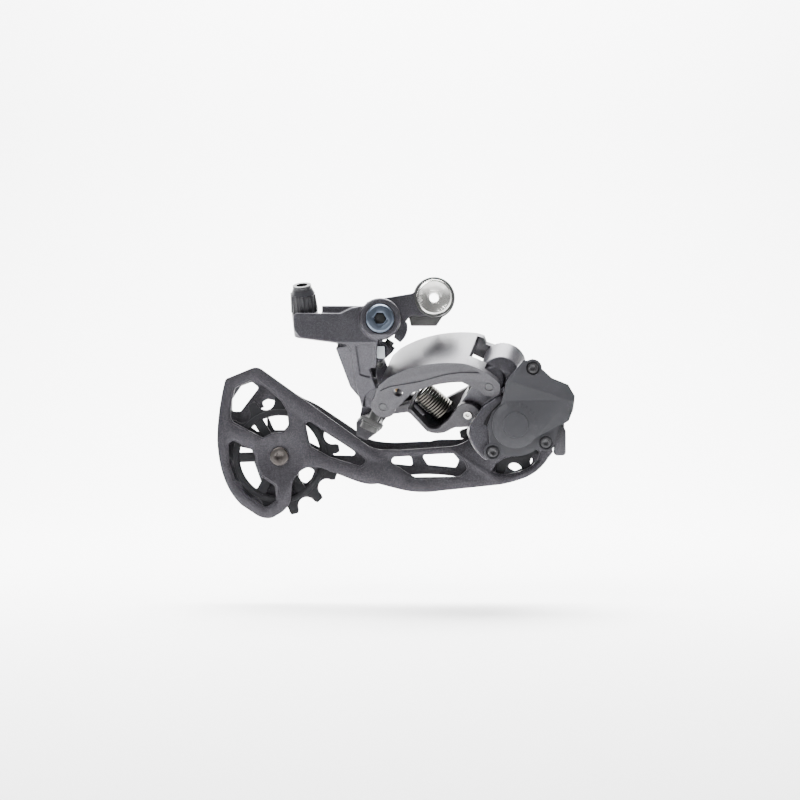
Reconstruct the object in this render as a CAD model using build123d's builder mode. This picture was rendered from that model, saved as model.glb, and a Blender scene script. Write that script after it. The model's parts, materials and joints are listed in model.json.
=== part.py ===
"""Rear bicycle derailleur with a slanted four-bar linkage and a long cage.

Frame: the origin is on the axis of the hanger bolt, on the face that rests
against the frame hanger.  +X points forward, +Y inboard (towards the wheel)
and +Z up.  All sizes are in millimetres.
"""
from build123d import *
import os
from math import cos, pi, radians, sin

os.makedirs("parts", exist_ok=True)

# ---------------------------------------------------------------- driving sizes
# Fixed axes, given as (x, z) because they run along Y.
B_AXLE = (-24.6, -10.3)
P_AXIS = (36.0, -58.0)
TENSION_AXIS = (-71.9, -73.2)

# The four parallel link pivots lean inboard and up.
PIVOT_TILT = 36.0
PIVOT_TURN = 24.0
PIVOT_A = (-23.4, -3.9, -50.1)
LINK_LENGTH = 52.5
LINK_SETBACK = (-15.9, -13.9)
LINK_DEPTH = 27.0
FLANGE = 2.5

# Running clearances.
GAP = 0.3
FIT = 0.04
OPEN_PIVOT_GAP = 0.35

# Hanger end.
BRACKET_BACK = -1.5
BRACKET_THICK = 6.0
BRACKET_FRONT = BRACKET_BACK - BRACKET_THICK
HANGER_THREAD_R = 5.0
HANGER_THREAD_LENGTH = 9.0
SHANK_R = 5.25
SHANK_END = 0.5
THREAD_START = 0.1
BOSS_R = 9.3
BOSS_FRONT = -21.5

# Pulleys and cage.
GUIDE_TEETH = 11
TENSION_TEETH = 13
CHAIN_PITCH = 12.7
ROLLER_SEAT_R = 4.1
TOOTH_RISE = 1.5
TOOTH_WIDTH = 2.2
TIP_HALF = 1.3
RIM_INSET = 4.6
RIM_WIDTH = 2.4
PULLEY_HUB_R = 8.6
SPOKES = 6
SPOKE_WIDTH = 4.6
SPOKE_TURN = 8.2
OUTER_PLATE_Y = (12.0, 14.2)
INNER_PLATE_Y = (22.0, 23.8)
PULLEY_Y = (OUTER_PLATE_Y[1] + INNER_PLATE_Y[0]) / 2
BUSH_R = 4.0
M5_R = 2.5

# Pivot knuckle at the lower end.
HOUSING_FRONT = -21.0
HOUSING_BACK = 3.0
NECK_R = 12.5
CAVITY_R = 10.8
COVER_FRONT = -25.4
BODY_R = 10.5
DISC_R = 6.5
P_AXLE_R = 4.0


def front(y):
    """Plane facing outboard at depth y; its own axes are X and Z."""
    return Plane.XZ.offset(-y)


# Link plane: local x runs from pivot A to pivot B, local z points outboard.
LINK_OUT = (
    -sin(radians(PIVOT_TILT)) * sin(radians(PIVOT_TURN)),
    -cos(radians(PIVOT_TILT)),
    -sin(radians(PIVOT_TILT)) * cos(radians(PIVOT_TURN)),
)
LINK = Plane(origin=PIVOT_A, x_dir=(0.908, -0.382, 0.172), z_dir=LINK_OUT)
A = (0, 0)
B = (LINK_LENGTH, 0)
C = LINK_SETBACK
D = (LINK_LENGTH + LINK_SETBACK[0], LINK_SETBACK[1])


def save(part, name):
    """Label a finished piece and write its STEP file."""
    part.label = name
    export_step(part, f"parts/{name}.step")


# ================================================================ hanger end
with BuildPart() as bracket_link:
    with BuildSketch(front(BRACKET_BACK)):
        with Locations((0, 0)):
            Circle(9.0)
        with Locations(B_AXLE):
            Circle(9.0)
        with BuildLine():
            Polyline(
                (-31.1, -2.2), (-25.7, -0.8), (-10.1, 1.8), (0, 9), (2, -8.7), (-11, -8.6), (-18, -17),
                close=True,
            )
        make_face()
    extrude(amount=BRACKET_THICK)
    # Curved tab that the B-tension screw pushes against.
    with BuildSketch(front(-2.5)):
        with BuildLine():
            ThreePointArc((-12.4, -11.5), (-12.6, -16.5), (-15.6, -20.6))
            Line((-15.6, -20.6), (-18.6, -18.2))
            ThreePointArc((-18.6, -18.2), (-17.2, -15.0), (-19.0, -10.0))
            Line((-19.0, -10.0), (-12.4, -11.5))
        make_face()
    extrude(amount=5.0)
    with BuildSketch(front(BRACKET_FRONT - 1)):
        Circle(SHANK_R + FIT)
        with Locations(B_AXLE):
            Circle(4.0)
    extrude(amount=-BRACKET_THICK - 3, mode=Mode.SUBTRACT)
save(bracket_link.part, "bracket_link")

with BuildPart() as stop_plate:
    with BuildSketch(front(0)):
        Circle(9.6)
        with BuildLine():
            Polyline((-9.6, 0), (-11.6, -9), (-10.6, -12.8), (1.2, -12.8), (4, -8.6), (9.6, 0), (-9.6, 0))
        make_face()
        Circle(SHANK_R + 0.1, mode=Mode.SUBTRACT)
    extrude(amount=-BRACKET_BACK - 0.02)
    # Clearance for the start of the hanger's thread.
    with BuildSketch(front(0)):
        Circle(HANGER_THREAD_R + 1.3)
    extrude(amount=SHANK_END, mode=Mode.SUBTRACT)
    # Lip that catches the step of the frame hanger.
    with BuildSketch(front(0)):
        with Locations((-4.8, -11.8)):
            Rectangle(11.0, 2.0)
    extrude(amount=-4.0)
save(stop_plate.part, "stop_plate")

with BuildPart() as mounting_bolt:
    with BuildSketch(Plane.YZ):
        with BuildLine():
            Polyline((-9.9, 0), (-9.9, 5.2), (-10.6, 7.2), (-10.2, 8.0), (-8.0, 8.0), (-7.6, 7.2), (-7.6, 0))
            Line((-7.6, 0), (-9.9, 0))
        make_face()
    revolve(axis=Axis.Y)
    with BuildSketch(front(-7.8)):
        Circle(SHANK_R)
    extrude(amount=-(7.8 - SHANK_END))
    with BuildSketch(front(-SHANK_END)):
        Circle(HANGER_THREAD_R - 0.5)
    extrude(amount=-SHANK_END)
    with BuildSketch(front(-THREAD_START)):
        Circle(HANGER_THREAD_R)
    extrude(amount=-(THREAD_START + HANGER_THREAD_LENGTH))
    chamfer(mounting_bolt.faces().sort_by(Axis.Y)[-1].edges(), 0.8)
    with BuildSketch(front(-12)):
        RegularPolygon(3.2, 6)
    extrude(amount=-8.0, mode=Mode.SUBTRACT)
    with BuildSketch(front(-12)):
        Circle(2.2)
    extrude(amount=-30.0, mode=Mode.SUBTRACT)
save(mounting_bolt.part, "mounting_bolt")

with BuildPart() as bolt_retaining_ring:
    with BuildSketch(front(-7.58)):
        Circle(9.0)
        Circle(8.05, mode=Mode.SUBTRACT)
    extrude(amount=0.9)
save(bolt_retaining_ring.part, "bolt_retaining_ring")

with BuildPart() as b_axle_bolt:
    with BuildSketch(front(BOSS_FRONT - 0.1)):
        with Locations(B_AXLE):
            Circle(6.4)
    extrude(amount=2.4)
    chamfer(b_axle_bolt.faces().sort_by(Axis.Y)[0].edges(), 0.8)
    with BuildSketch(front(BOSS_FRONT - 0.1)):
        with Locations(B_AXLE):
            Circle(5.0)
    extrude(amount=-(BRACKET_FRONT - BOSS_FRONT + 0.08))
    with BuildSketch(front(BRACKET_FRONT - 0.02)):
        with Locations(B_AXLE):
            Circle(4.0)
    extrude(amount=-(BRACKET_THICK - 0.3))
    with BuildSketch(front(BOSS_FRONT - 4)):
        with Locations(B_AXLE):
            RegularPolygon(2.9, 6)
    extrude(amount=-6.5, mode=Mode.SUBTRACT)
save(b_axle_bolt.part, "b_axle_bolt")

# ================================================================ B-knuckle
BARREL_R = 6.2
BARREL_BASE = 1.9
BARREL_LENGTH = 10.8
GRIP_LENGTH = 8.2
FLUTES = 11
HOUSING_SOCKET_R = 2.6
ADJUSTER_FOOT = (-58.8, -9.0, -8.2)
ADJUSTER_LEAN = Plane(origin=ADJUSTER_FOOT, x_dir=(1, 0, 0.09), z_dir=(-0.09, -0.34, 0.94))
B_SCREW = Plane(origin=(-19.6, -5.0, -19.4), x_dir=(0, 1, 0), z_dir=(0.55, 0, 0.83))
KNUCKLE_FRONT = -19.5
KNUCKLE_BACK = -8.2
C_LUG = (-17.2, -12.3)
A_LUG = (-LINK_DEPTH + FLANGE + GAP + 0.5, -FLANGE - GAP)
PIN_R = 2.0
PIN_BUSH_R = 3.0
OUTER_LINK_SWEEP_R = 9.4
STRUT_FACE = Plane(origin=(-31.0, -19.5, -21.0), x_dir=(1, 0, 0), z_dir=(0, -29.0, -17.5))


def link_prism(depth):
    """Extrude the pending link sketch from depth[1] inboard to depth[0]."""
    extrude(amount=-(depth[1] - depth[0]))


with BuildPart() as b_knuckle_body:
    # Round boss on the B-axle.
    with BuildSketch(front(BRACKET_FRONT - GAP)):
        with Locations(B_AXLE):
            Circle(BOSS_R)
    extrude(amount=BRACKET_FRONT - GAP - BOSS_FRONT)
    fillet(b_knuckle_body.faces().sort_by(Axis.Y)[0].edges(), 0.9)
    # Rearward arm that carries the barrel adjuster.
    with BuildSketch(front(KNUCKLE_BACK)) as arm_outline:
        with BuildLine():
            Polyline(
                (-63.8, -7.6), (-42.6, -7.9), (-37.5, -5.4), (-24.6, -3.0), (-17.0, -14.0), (-25.0, -17.5),
                (-26.0, -24.0), (-38.1, -24.0), (-39.9, -21.7), (-60.6, -19.0), (-63.3, -15.4), close=True,
            )
        make_face()
        fillet(arm_outline.vertices().group_by(Axis.X)[0], 2.0)
    extrude(amount=KNUCKLE_BACK - KNUCKLE_FRONT)
    with BuildSketch(front(KNUCKLE_BACK)):
        with Locations((-42.0, -6.6)):
            Rectangle(18.0, 4.8)
    extrude(amount=6.0)
    # Strut from the boss to the upper link pivot; its face slopes inboard.
    with BuildSketch(front(2.0)):
        with BuildLine():
            Polyline(
                (-39.9, -14.0), (-38.1, -23.0), (-35.9, -39.2), (-33.2, -50.1), (-26.9, -51.4),
                (-24.2, -47.8), (-26.4, -35.2), (-26.0, -21.2), (-25.0, -14.0), close=True,
            )
        make_face()
    extrude(amount=2.0 - KNUCKLE_FRONT)
    with BuildSketch(STRUT_FACE):
        Rectangle(60, 120)
    extrude(amount=30, mode=Mode.SUBTRACT)
    with BuildSketch(STRUT_FACE):
        with BuildLine():
            Polyline((-4.7, -1.4), (4.0, -1.4), (3.5, -13.8), (2.4, -18.8), (-2.8, -17.2), close=True)
        make_face()
    extrude(amount=-0.9, mode=Mode.SUBTRACT)
    # Slanted leg down to the link pivots.
    with BuildSketch(LINK.offset(A_LUG[1])):
        with BuildLine():
            Polyline((-5.4, -1), (-1, 5.4), (-0.6, 20), (0.5, 33), (-12, 33), (-13, 12), (-9, 0), close=True)
        make_face()
        Circle(5.4)
    link_prism(A_LUG)
    # Lug between the flanges of the inner link.
    with BuildSketch(LINK.offset(C_LUG[1])):
        with BuildLine():
            Polyline((-12.0, -17.3), (-4.6, -5.0), (-4.0, 3.0), (-10, 6), (-19.9, -10.9), (-12.0, -17.3))
        make_face()
        with Locations(C):
            Circle(4.9)
    link_prism(C_LUG)
    # Socket of the barrel adjuster.
    with BuildSketch(ADJUSTER_LEAN.offset(-9.5)):
        Circle(6.0)
    extrude(amount=11.0)
    # Lug of the B-tension screw.
    with BuildSketch(B_SCREW.offset(-7.5)):
        with Locations((0, 0)):
            Circle(3.6)
    extrude(amount=5.5)
    with BuildSketch(front(-3.4)):
        with BuildLine():
            Polyline((-27, -19), (-22.5, -20.5), (-19.5, -23.5), (-21.5, -27.5), (-30, -32), (-27, -19))
        make_face()
    extrude(amount=7.0)
    # Room for the bracket, which stays still while the knuckle turns.
    with BuildSketch(front(BRACKET_FRONT - GAP)):
        with Locations(B_AXLE):
            Circle(10.0)
        with BuildLine():
            Polyline((-24.6, -0.3), (12, 12), (12, -14), (-12, -21.8), (-17.8, -22), (-24.6, -20), close=True)
        make_face()
    extrude(amount=-30, mode=Mode.SUBTRACT)
    # Room for the outer link's web and for its two pivot eyes.
    with BuildSketch(LINK.offset(1.0)):
        with BuildLine():
            Polyline((0.0, 6.0), (0.0, 19.6), (30, 19.6), (30, -30), (12, -30), (5.8, -6), (0.0, 6.0))
        make_face()
    extrude(amount=-LINK_DEPTH - 2, mode=Mode.SUBTRACT)
    with BuildSketch(LINK.offset(A_LUG[1])):
        Circle(OUTER_LINK_SWEEP_R)
    extrude(amount=14.0, mode=Mode.SUBTRACT)
    with BuildSketch(LINK.offset(A_LUG[0])):
        Circle(6.4)
    extrude(amount=-6.0, mode=Mode.SUBTRACT)
    # Seat of the plastic insert.
    with BuildSketch(front(-13.0)):
        with Locations((-24.4, -25.2)):
            RectangleRounded(3.8, 5.6, 0.8)
    extrude(amount=-5.0, mode=Mode.SUBTRACT)
    # Bores.
    with BuildSketch(front(BOSS_FRONT - 1)):
        with Locations(B_AXLE):
            Circle(6.2)
    extrude(amount=-20, mode=Mode.SUBTRACT)
    with BuildSketch(LINK.offset(2)):
        Circle(PIN_BUSH_R + FIT)
        with Locations(C):
            Circle(PIN_R + FIT)
    extrude(amount=-LINK_DEPTH - 6, mode=Mode.SUBTRACT)
    with BuildSketch(ADJUSTER_LEAN.offset(4)):
        Circle(3.0 + FIT)
    extrude(amount=-16, mode=Mode.SUBTRACT)
    with BuildSketch(ADJUSTER_LEAN.offset(BARREL_BASE - GAP)):
        Circle(BARREL_R + 0.6)
    extrude(amount=BARREL_LENGTH, mode=Mode.SUBTRACT)
    with BuildSketch(B_SCREW.offset(-17)):
        Circle(2.0 + FIT)
    extrude(amount=26, mode=Mode.SUBTRACT)
    with BuildSketch(B_SCREW.offset(-11.0 + GAP)):
        Circle(3.7)
    extrude(amount=-8, mode=Mode.SUBTRACT)
save(b_knuckle_body.part, "b_knuckle_body")

with BuildPart() as b_axle_bushing:
    with BuildSketch(front(BOSS_FRONT + 0.2)):
        with Locations(B_AXLE):
            Circle(6.2)
            Circle(5.0 + FIT, mode=Mode.SUBTRACT)
    extrude(amount=-(BRACKET_FRONT - BOSS_FRONT - 0.6))
save(b_axle_bushing.part, "b_axle_bushing")

with BuildPart() as a_pivot_bushing:
    with BuildSketch(LINK.offset(A_LUG[1])):
        Circle(PIN_BUSH_R)
        Circle(PIN_R + FIT, mode=Mode.SUBTRACT)
    link_prism(A_LUG)
save(a_pivot_bushing.part, "a_pivot_bushing")

with BuildPart() as knuckle_insert:
    with BuildSketch(front(-13.0)):
        with Locations((-24.4, -25.2)):
            RectangleRounded(3.8, 5.6, 0.8)
    extrude(amount=-5.0)
save(knuckle_insert.part, "knuckle_insert")

# Barrel adjuster with slanting grip flutes and a socket for the cable housing.
with BuildPart() as barrel_adjuster:
    with BuildSketch(ADJUSTER_LEAN.offset(BARREL_BASE)):
        Circle(BARREL_R)
        with PolarLocations(BARREL_R + 0.5, FLUTES):
            Circle(1.3, mode=Mode.SUBTRACT)
    with BuildSketch(ADJUSTER_LEAN.offset(BARREL_BASE + GRIP_LENGTH).rotated((0, 0, 22))):
        Circle(BARREL_R - 0.5)
        with PolarLocations(BARREL_R, FLUTES):
            Circle(1.3, mode=Mode.SUBTRACT)
    loft(ruled=True)
    with BuildSketch(ADJUSTER_LEAN.offset(BARREL_BASE + GRIP_LENGTH)):
        Circle(BARREL_R - 0.7)
    with BuildSketch(ADJUSTER_LEAN.offset(BARREL_BASE + BARREL_LENGTH)):
        Circle(4.4)
    loft(ruled=True)
    with BuildSketch(ADJUSTER_LEAN.offset(BARREL_BASE + BARREL_LENGTH)):
        Circle(4.2)
    extrude(amount=1.6)
    with BuildSketch(ADJUSTER_LEAN.offset(BARREL_BASE)):
        Circle(3.0)
    extrude(amount=-9.0)
    with BuildSketch(ADJUSTER_LEAN.offset(BARREL_BASE + BARREL_LENGTH + 2)):
        Circle(HOUSING_SOCKET_R)
    extrude(amount=-9.0, mode=Mode.SUBTRACT)
    with BuildSketch(ADJUSTER_LEAN.offset(BARREL_BASE + BARREL_LENGTH + 2)):
        Circle(0.9)
    extrude(amount=-30.0, mode=Mode.SUBTRACT)
save(barrel_adjuster.part, "barrel_adjuster")

with BuildPart() as b_tension_screw:
    with BuildSketch(B_SCREW.offset(-11.0)):
        Circle(2.0)
    extrude(amount=10.6)
    with BuildSketch(B_SCREW.offset(-13.4)):
        Circle(3.3)
    extrude(amount=2.4)
    with BuildSketch(B_SCREW.offset(-13.5)):
        RegularPolygon(1.5, 6)
    extrude(amount=1.8, mode=Mode.SUBTRACT)
save(b_tension_screw.part, "b_tension_screw")

# ================================================================ outer link
WEB_THICK = 2.3
EYE_A_R = 5.8
EYE_B_R = 5.1


def outer_link_profile():
    """Side outline of the outer link, from the A eye over the top to the B eye."""
    with BuildSketch(Plane.XY) as profile:
        with BuildLine():
            Polyline((-5.5, -1.8), (-1.8, -5.2), (3, -4.0), (10.3, 0.6), (15.5, 4.0))
            ThreePointArc((15.5, 4.0), (28.5, 6.1), (41.0, 5.0))
            Polyline((41.0, 5.0), (47.0, -0.6), (50.5, -4.6), (56.6, -3.0), (57.4, 1.2))
            ThreePointArc((57.4, 1.2), (52.5, 8.6), (45.5, 14.0))
            ThreePointArc((45.5, 14.0), (28.0, 17.2), (7.0, 13.9))
            Polyline((7.0, 13.9), (1.8, 11.0), (-2.6, 5.2), (-5.5, -1.8))
        make_face()
        Circle(EYE_A_R)
        with Locations(B):
            Circle(EYE_B_R)
    return profile.sketch


def web_underside(margin):
    """Region below the web of the outer link."""
    with BuildSketch(Plane.XY) as region:
        with BuildLine():
            Polyline((-12, -12), (-12, 5), (3.0, 8.6), (8.0, 13.9 - margin))
            ThreePointArc((8.0, 13.9 - margin), (28.0, 17.2 - margin), (45.0, 14.0 - margin))
            Polyline((45.0, 14.0 - margin), (51.0, 8.4), (66, 8.0), (66, -12), (-12, -12))
        make_face()
    return region.sketch


with BuildPart() as outer_link_body:
    with BuildSketch(LINK):
        add(outer_link_profile())
    extrude(amount=-LINK_DEPTH)
    with BuildSketch(LINK.offset(-FLANGE)):
        add(web_underside(WEB_THICK))
        Circle(6.8)
        with Locations(B):
            Circle(7.4)
    extrude(amount=-(LINK_DEPTH - 2 * FLANGE), mode=Mode.SUBTRACT)
    # Open end of the web above the B pivot.
    with BuildSketch(LINK.offset(-7.0)):
        with BuildLine():
            Polyline((45.4, 4.0), (46.6, 20), (62, 20), (62, -8), (44, -8), close=True)
        make_face()
    extrude(amount=-(LINK_DEPTH - 7.0 - FLANGE), mode=Mode.SUBTRACT)
    with BuildSketch(LINK.offset(-LINK_DEPTH + FLANGE)):
        with BuildLine():
            Polyline((48.6, 8.6), (48.6, 20), (64, 20), (64, 3.2), (56.0, 3.2), (52.4, 6.0), close=True)
        make_face()
    extrude(amount=-FLANGE, mode=Mode.SUBTRACT)
    # Left end of the web stays clear of the knuckle's leg.
    with BuildSketch(LINK.offset(-FLANGE)):
        with BuildLine():
            Polyline((-10, -9), (-10, 14), (1.2, 14), (1.2, -9), (-10, -9))
        make_face()
    extrude(amount=-(LINK_DEPTH - 2 * FLANGE), mode=Mode.SUBTRACT)
    # Shallow recess between the front face and the ridge line.
    with BuildSketch(LINK):
        with BuildLine():
            Polyline((1.6, 8.4), (7.2, 9.5), (22, 9.2), (34.7, 10.2), (42, 9.8), (50.9, 7.6), (48.5, 10.4))
            ThreePointArc((48.5, 10.4), (45.0, 13.1), (41.0, 14.7))
            ThreePointArc((41.0, 14.7), (26.0, 16.0), (8.0, 13.2))
            Line((8.0, 13.2), (1.6, 8.4))
        make_face()
    extrude(amount=-0.7, mode=Mode.SUBTRACT)
    # Tooling hole and pin bores.
    with BuildSketch(LINK):
        with Locations((9.8, 5.9)):
            Circle(2.2)
    extrude(amount=-FLANGE, mode=Mode.SUBTRACT)
    with BuildSketch(LINK.offset(1)):
        with Locations(A, B):
            Circle(PIN_R)
    extrude(amount=-LINK_DEPTH - 2, mode=Mode.SUBTRACT)
save(outer_link_body.part, "outer_link_body")

for pin_name, pin_centre in (("pin_a", A), ("pin_b", B)):
    with BuildPart() as pin:
        with BuildSketch(LINK.offset(0.15)):
            with Locations(pin_centre):
                Circle(PIN_R)
        extrude(amount=-LINK_DEPTH - 0.3)
        chamfer(pin.edges().filter_by(GeomType.CIRCLE), 0.35)
    save(pin.part, pin_name)

# ================================================================ inner link
INNER_FRONT = (-5.5, -2.8)
INNER_REAR = (-20.0, -17.5)
C_FRONT = (-12.0, -9.5)
CHEEK_R = 6.1
CLAMP_ARM = (-9.7, -0.5)
CLAMP = Plane(origin=(-28.2, 6.4, -56.2), x_dir=(0.9, 0, -0.43), z_dir=(-0.43, 0, -0.9))


with BuildPart() as inner_link_body:
    # Front cheek: a deep V that holds the D eye and cradles the spring.
    with BuildSketch(LINK.offset(INNER_FRONT[1])):
        with BuildLine():
            Polyline((40, -19.0), (34, -20.2), (28.5, -19.2), (25.4, -20.0))
            ThreePointArc((25.4, -20.0), (19.5, -20.8), (14.2, -18.4))
            Polyline((14.2, -18.4), (12.0, -13.0), (9.0, -5.5), (11.2, -5.0), (13.2, -10.0), (15.4, -15.6))
            ThreePointArc((15.4, -15.6), (18.4, -18.0), (22.2, -16.8))
            Polyline((22.2, -16.8), (27.0, -14.2), (33.0, -9.0), (37.0, -7.8), (42.0, -13.0), (40, -19.0))
        make_face()
        with Locations(D):
            Circle(CHEEK_R)
    link_prism(INNER_FRONT)
    # Trough wall that joins the cheeks under the spring.
    with BuildSketch(LINK.offset(INNER_FRONT[1])):
        with BuildLine():
            Polyline((26.5, -19.6), (25.4, -20.0))
            ThreePointArc((25.4, -20.0), (19.5, -20.8), (14.2, -18.4))
            Polyline((14.2, -18.4), (12.0, -13.0), (9.0, -5.5), (11.0, -5.0), (13.8, -11.6), (15.8, -16.8))
            ThreePointArc((15.8, -16.8), (20.0, -18.9), (25.0, -18.2))
            Polyline((25.0, -18.2), (27.0, -17.6), (26.5, -19.6))
        make_face()
    link_prism((INNER_REAR[0], INNER_FRONT[1]))
    # Rear cheek from the C eye to the D eye.
    with BuildSketch(LINK.offset(INNER_REAR[1])):
        with BuildLine():
            Polyline(
                (C[0], C[1] + 4.9), (-8, -6.9), (6, -6.4), (14, -7.5), (22, -12.0), (30, -9.6),
                (D[0], D[1] + 6.1), (D[0], D[1] - 6.1), (25, -20.0), (14.2, -18.6), (5.4, -17.6),
                (1.0, -11.8), (-4.2, -10.0), (-11.6, -16.2), (C[0], C[1] - 4.9), close=True,
            )
        make_face()
        with Locations(C):
            Circle(4.9)
        with Locations(D):
            Circle(CHEEK_R)
    link_prism(INNER_REAR)
    # Set-back front cheek of the C end, and the floor between the two.
    with BuildSketch(LINK.offset(C_FRONT[1])):
        with BuildLine():
            Polyline(
                (C[0], C[1] + 4.9), (-8, -6.9), (4, -6.2), (10.2, -5.5), (13.0, -13.5), (14.2, -18.2),
                (10.4, -16.4), (5.6, -10.2), (-3.0, -9.6), (-11.6, -16.2), (C[0], C[1] - 4.9), close=True,
            )
        make_face()
        with Locations(C):
            Circle(4.9)
    link_prism(C_FRONT)
    with BuildSketch(LINK.offset(C_FRONT[1])):
        with BuildLine():
            Polyline(
                (-4, -9.9), (6.2, -10.6), (12.0, -17.0), (13.6, -15.4), (7.0, -8.4), (-4, -7.9),
                close=True,
            )
        make_face()
    link_prism((INNER_REAR[0], C_FRONT[1]))
    # Outboard arm that carries the cable clamp.
    with BuildSketch(LINK.offset(CLAMP_ARM[1])):
        with BuildLine():
            Polyline((-20.0, -14.0), (-19.0, -8.8), (-11.0, -6.4), (-6.6, -9.5), (-8.5, -15.5), (-16, -17.6))
            Line((-16, -17.6), (-20.0, -14.0))
        make_face()
    link_prism(CLAMP_ARM)
    with BuildSketch(CLAMP):
        Rectangle(20, 11.4)
    extrude(amount=14, mode=Mode.SUBTRACT)
    # Slot for the spring leg in the sloping wall, then the bores.
    with BuildSketch(LINK.offset(-6.6)):
        with Locations((11.6, -10.2)):
            Rectangle(7.0, 3.4, rotation=-68)
    extrude(amount=-2.2, mode=Mode.SUBTRACT)
    with BuildSketch(LINK.offset(C_FRONT[1] + 0.4)):
        with Locations(C):
            Circle(PIN_R)
    extrude(amount=-LINK_DEPTH, mode=Mode.SUBTRACT)
    with BuildSketch(LINK.offset(1)):
        with Locations(D):
            Circle(PIN_R)
    extrude(amount=-LINK_DEPTH, mode=Mode.SUBTRACT)
    with BuildSketch(CLAMP.offset(-9)):
        Circle(2.5)
    extrude(amount=12, mode=Mode.SUBTRACT)
save(inner_link_body.part, "inner_link_body")

C_PIN = ("pin_c", C, C_FRONT[1], 10.5)
D_PIN = ("pin_d", D, INNER_FRONT[1] + 0.5, 17.7)
for pin_name, pin_centre, top, length in (C_PIN, D_PIN):
    with BuildPart() as pin:
        with BuildSketch(LINK.offset(top)):
            with Locations(pin_centre):
                Circle(PIN_R)
        extrude(amount=-length)
        with BuildSketch(LINK.offset(top + 0.1)):
            with Locations(pin_centre):
                RegularPolygon(0.9, 6)
        extrude(amount=-1.4, mode=Mode.SUBTRACT)
    save(pin.part, pin_name)

# Return spring cradled in the V of the inner link; a plain sleeve of its outer shape.
SPRING_R = 5.0
SPRING_WIRE_R = 0.65
SPRING_LENGTH = 11.5
SPRING_CENTRE = LINK.from_local_coords(Vector(19.2, -8.2, -11.5))
SPRING_AXIS = LINK.x_dir * 0.5 - LINK.y_dir * 0.86
SPRING_PLANE = Plane(origin=SPRING_CENTRE, z_dir=SPRING_AXIS)
with BuildPart() as return_spring:
    with BuildSketch(SPRING_PLANE.offset(-SPRING_LENGTH / 2)):
        Circle(SPRING_R + SPRING_WIRE_R)
        Circle(SPRING_R - SPRING_WIRE_R, mode=Mode.SUBTRACT)
    extrude(amount=SPRING_LENGTH)
save(return_spring.part, "return_spring")

# Cable clamp: bolt, toothed washer and grooved plate on the inner link's arm.
with BuildPart() as cable_clamp_plate:
    with BuildSketch(CLAMP):
        RectangleRounded(11.0, 9.6, 1.2)
        Circle(2.5 + FIT, mode=Mode.SUBTRACT)
    extrude(amount=1.6)
    with BuildSketch(CLAMP.offset(0)):
        with Locations((0, 3.6)):
            Rectangle(11.0, 1.3)
    extrude(amount=0.7, mode=Mode.SUBTRACT)
save(cable_clamp_plate.part, "cable_clamp_plate")

with BuildPart() as cable_clamp_washer:
    with BuildSketch(CLAMP.offset(1.62)):
        Circle(4.6)
        Circle(2.5 + FIT, mode=Mode.SUBTRACT)
    extrude(amount=1.0)
save(cable_clamp_washer.part, "cable_clamp_washer")

with BuildPart() as cable_clamp_bolt:
    with BuildSketch(CLAMP.offset(2.64)):
        Circle(4.1)
    extrude(amount=2.6)
    with BuildSketch(CLAMP.offset(5.3)):
        RegularPolygon(2.3, 6)
    extrude(amount=-2.2, mode=Mode.SUBTRACT)
    with BuildSketch(CLAMP.offset(2.64)):
        Circle(2.5)
    extrude(amount=-8.6)
save(cable_clamp_bolt.part, "cable_clamp_bolt")

# ================================================================ P-knuckle
B_LUG = (-LINK_DEPTH + FLANGE + GAP + 0.5, -8.0)
B_NECK = (-8.0, -FLANGE - GAP)
D_LUG = (INNER_REAR[1] + GAP, INNER_FRONT[0] - GAP)
COVER_SCREWS = ((43.9, -32.6), (49.7, -65.9), (25.9, -70.1))
COVER_BOSS_R = 4.0
LEVER_AXIS = (56.0, -61.4)


def cover_outline(inset):
    """Outline of the stabilizer cover, drawn in by inset."""
    with BuildSketch(Plane.XY) as outline:
        with BuildLine():
            Polyline(
                (39.1, -29.8), (43.9, -28.4), (48.0, -33.0), (52.4, -37.0), (59.8, -40.0), (62.7, -45.1),
                (61.9, -51.4), (60.0, -56.2), (55.6, -59.0), (53.4, -65.9), (49.5, -69.8), (45.6, -68.9),
            )
            ThreePointArc((45.6, -68.9), (36.0, -72.2), (28.6, -70.6))
            Polyline((28.6, -70.6), (24.6, -68.0), (23.6, -58.1), (25.8, -52.3), (29.4, -49.0), (30.6, -44.7))
            Polyline((30.6, -44.7), (32.0, -38.6), (34.0, -35.9), (39.1, -29.8))
        make_face()
        for centre in COVER_SCREWS:
            with Locations(centre):
                Circle(COVER_BOSS_R)
        if inset:
            offset(amount=-inset)
    return outline.sketch


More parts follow.
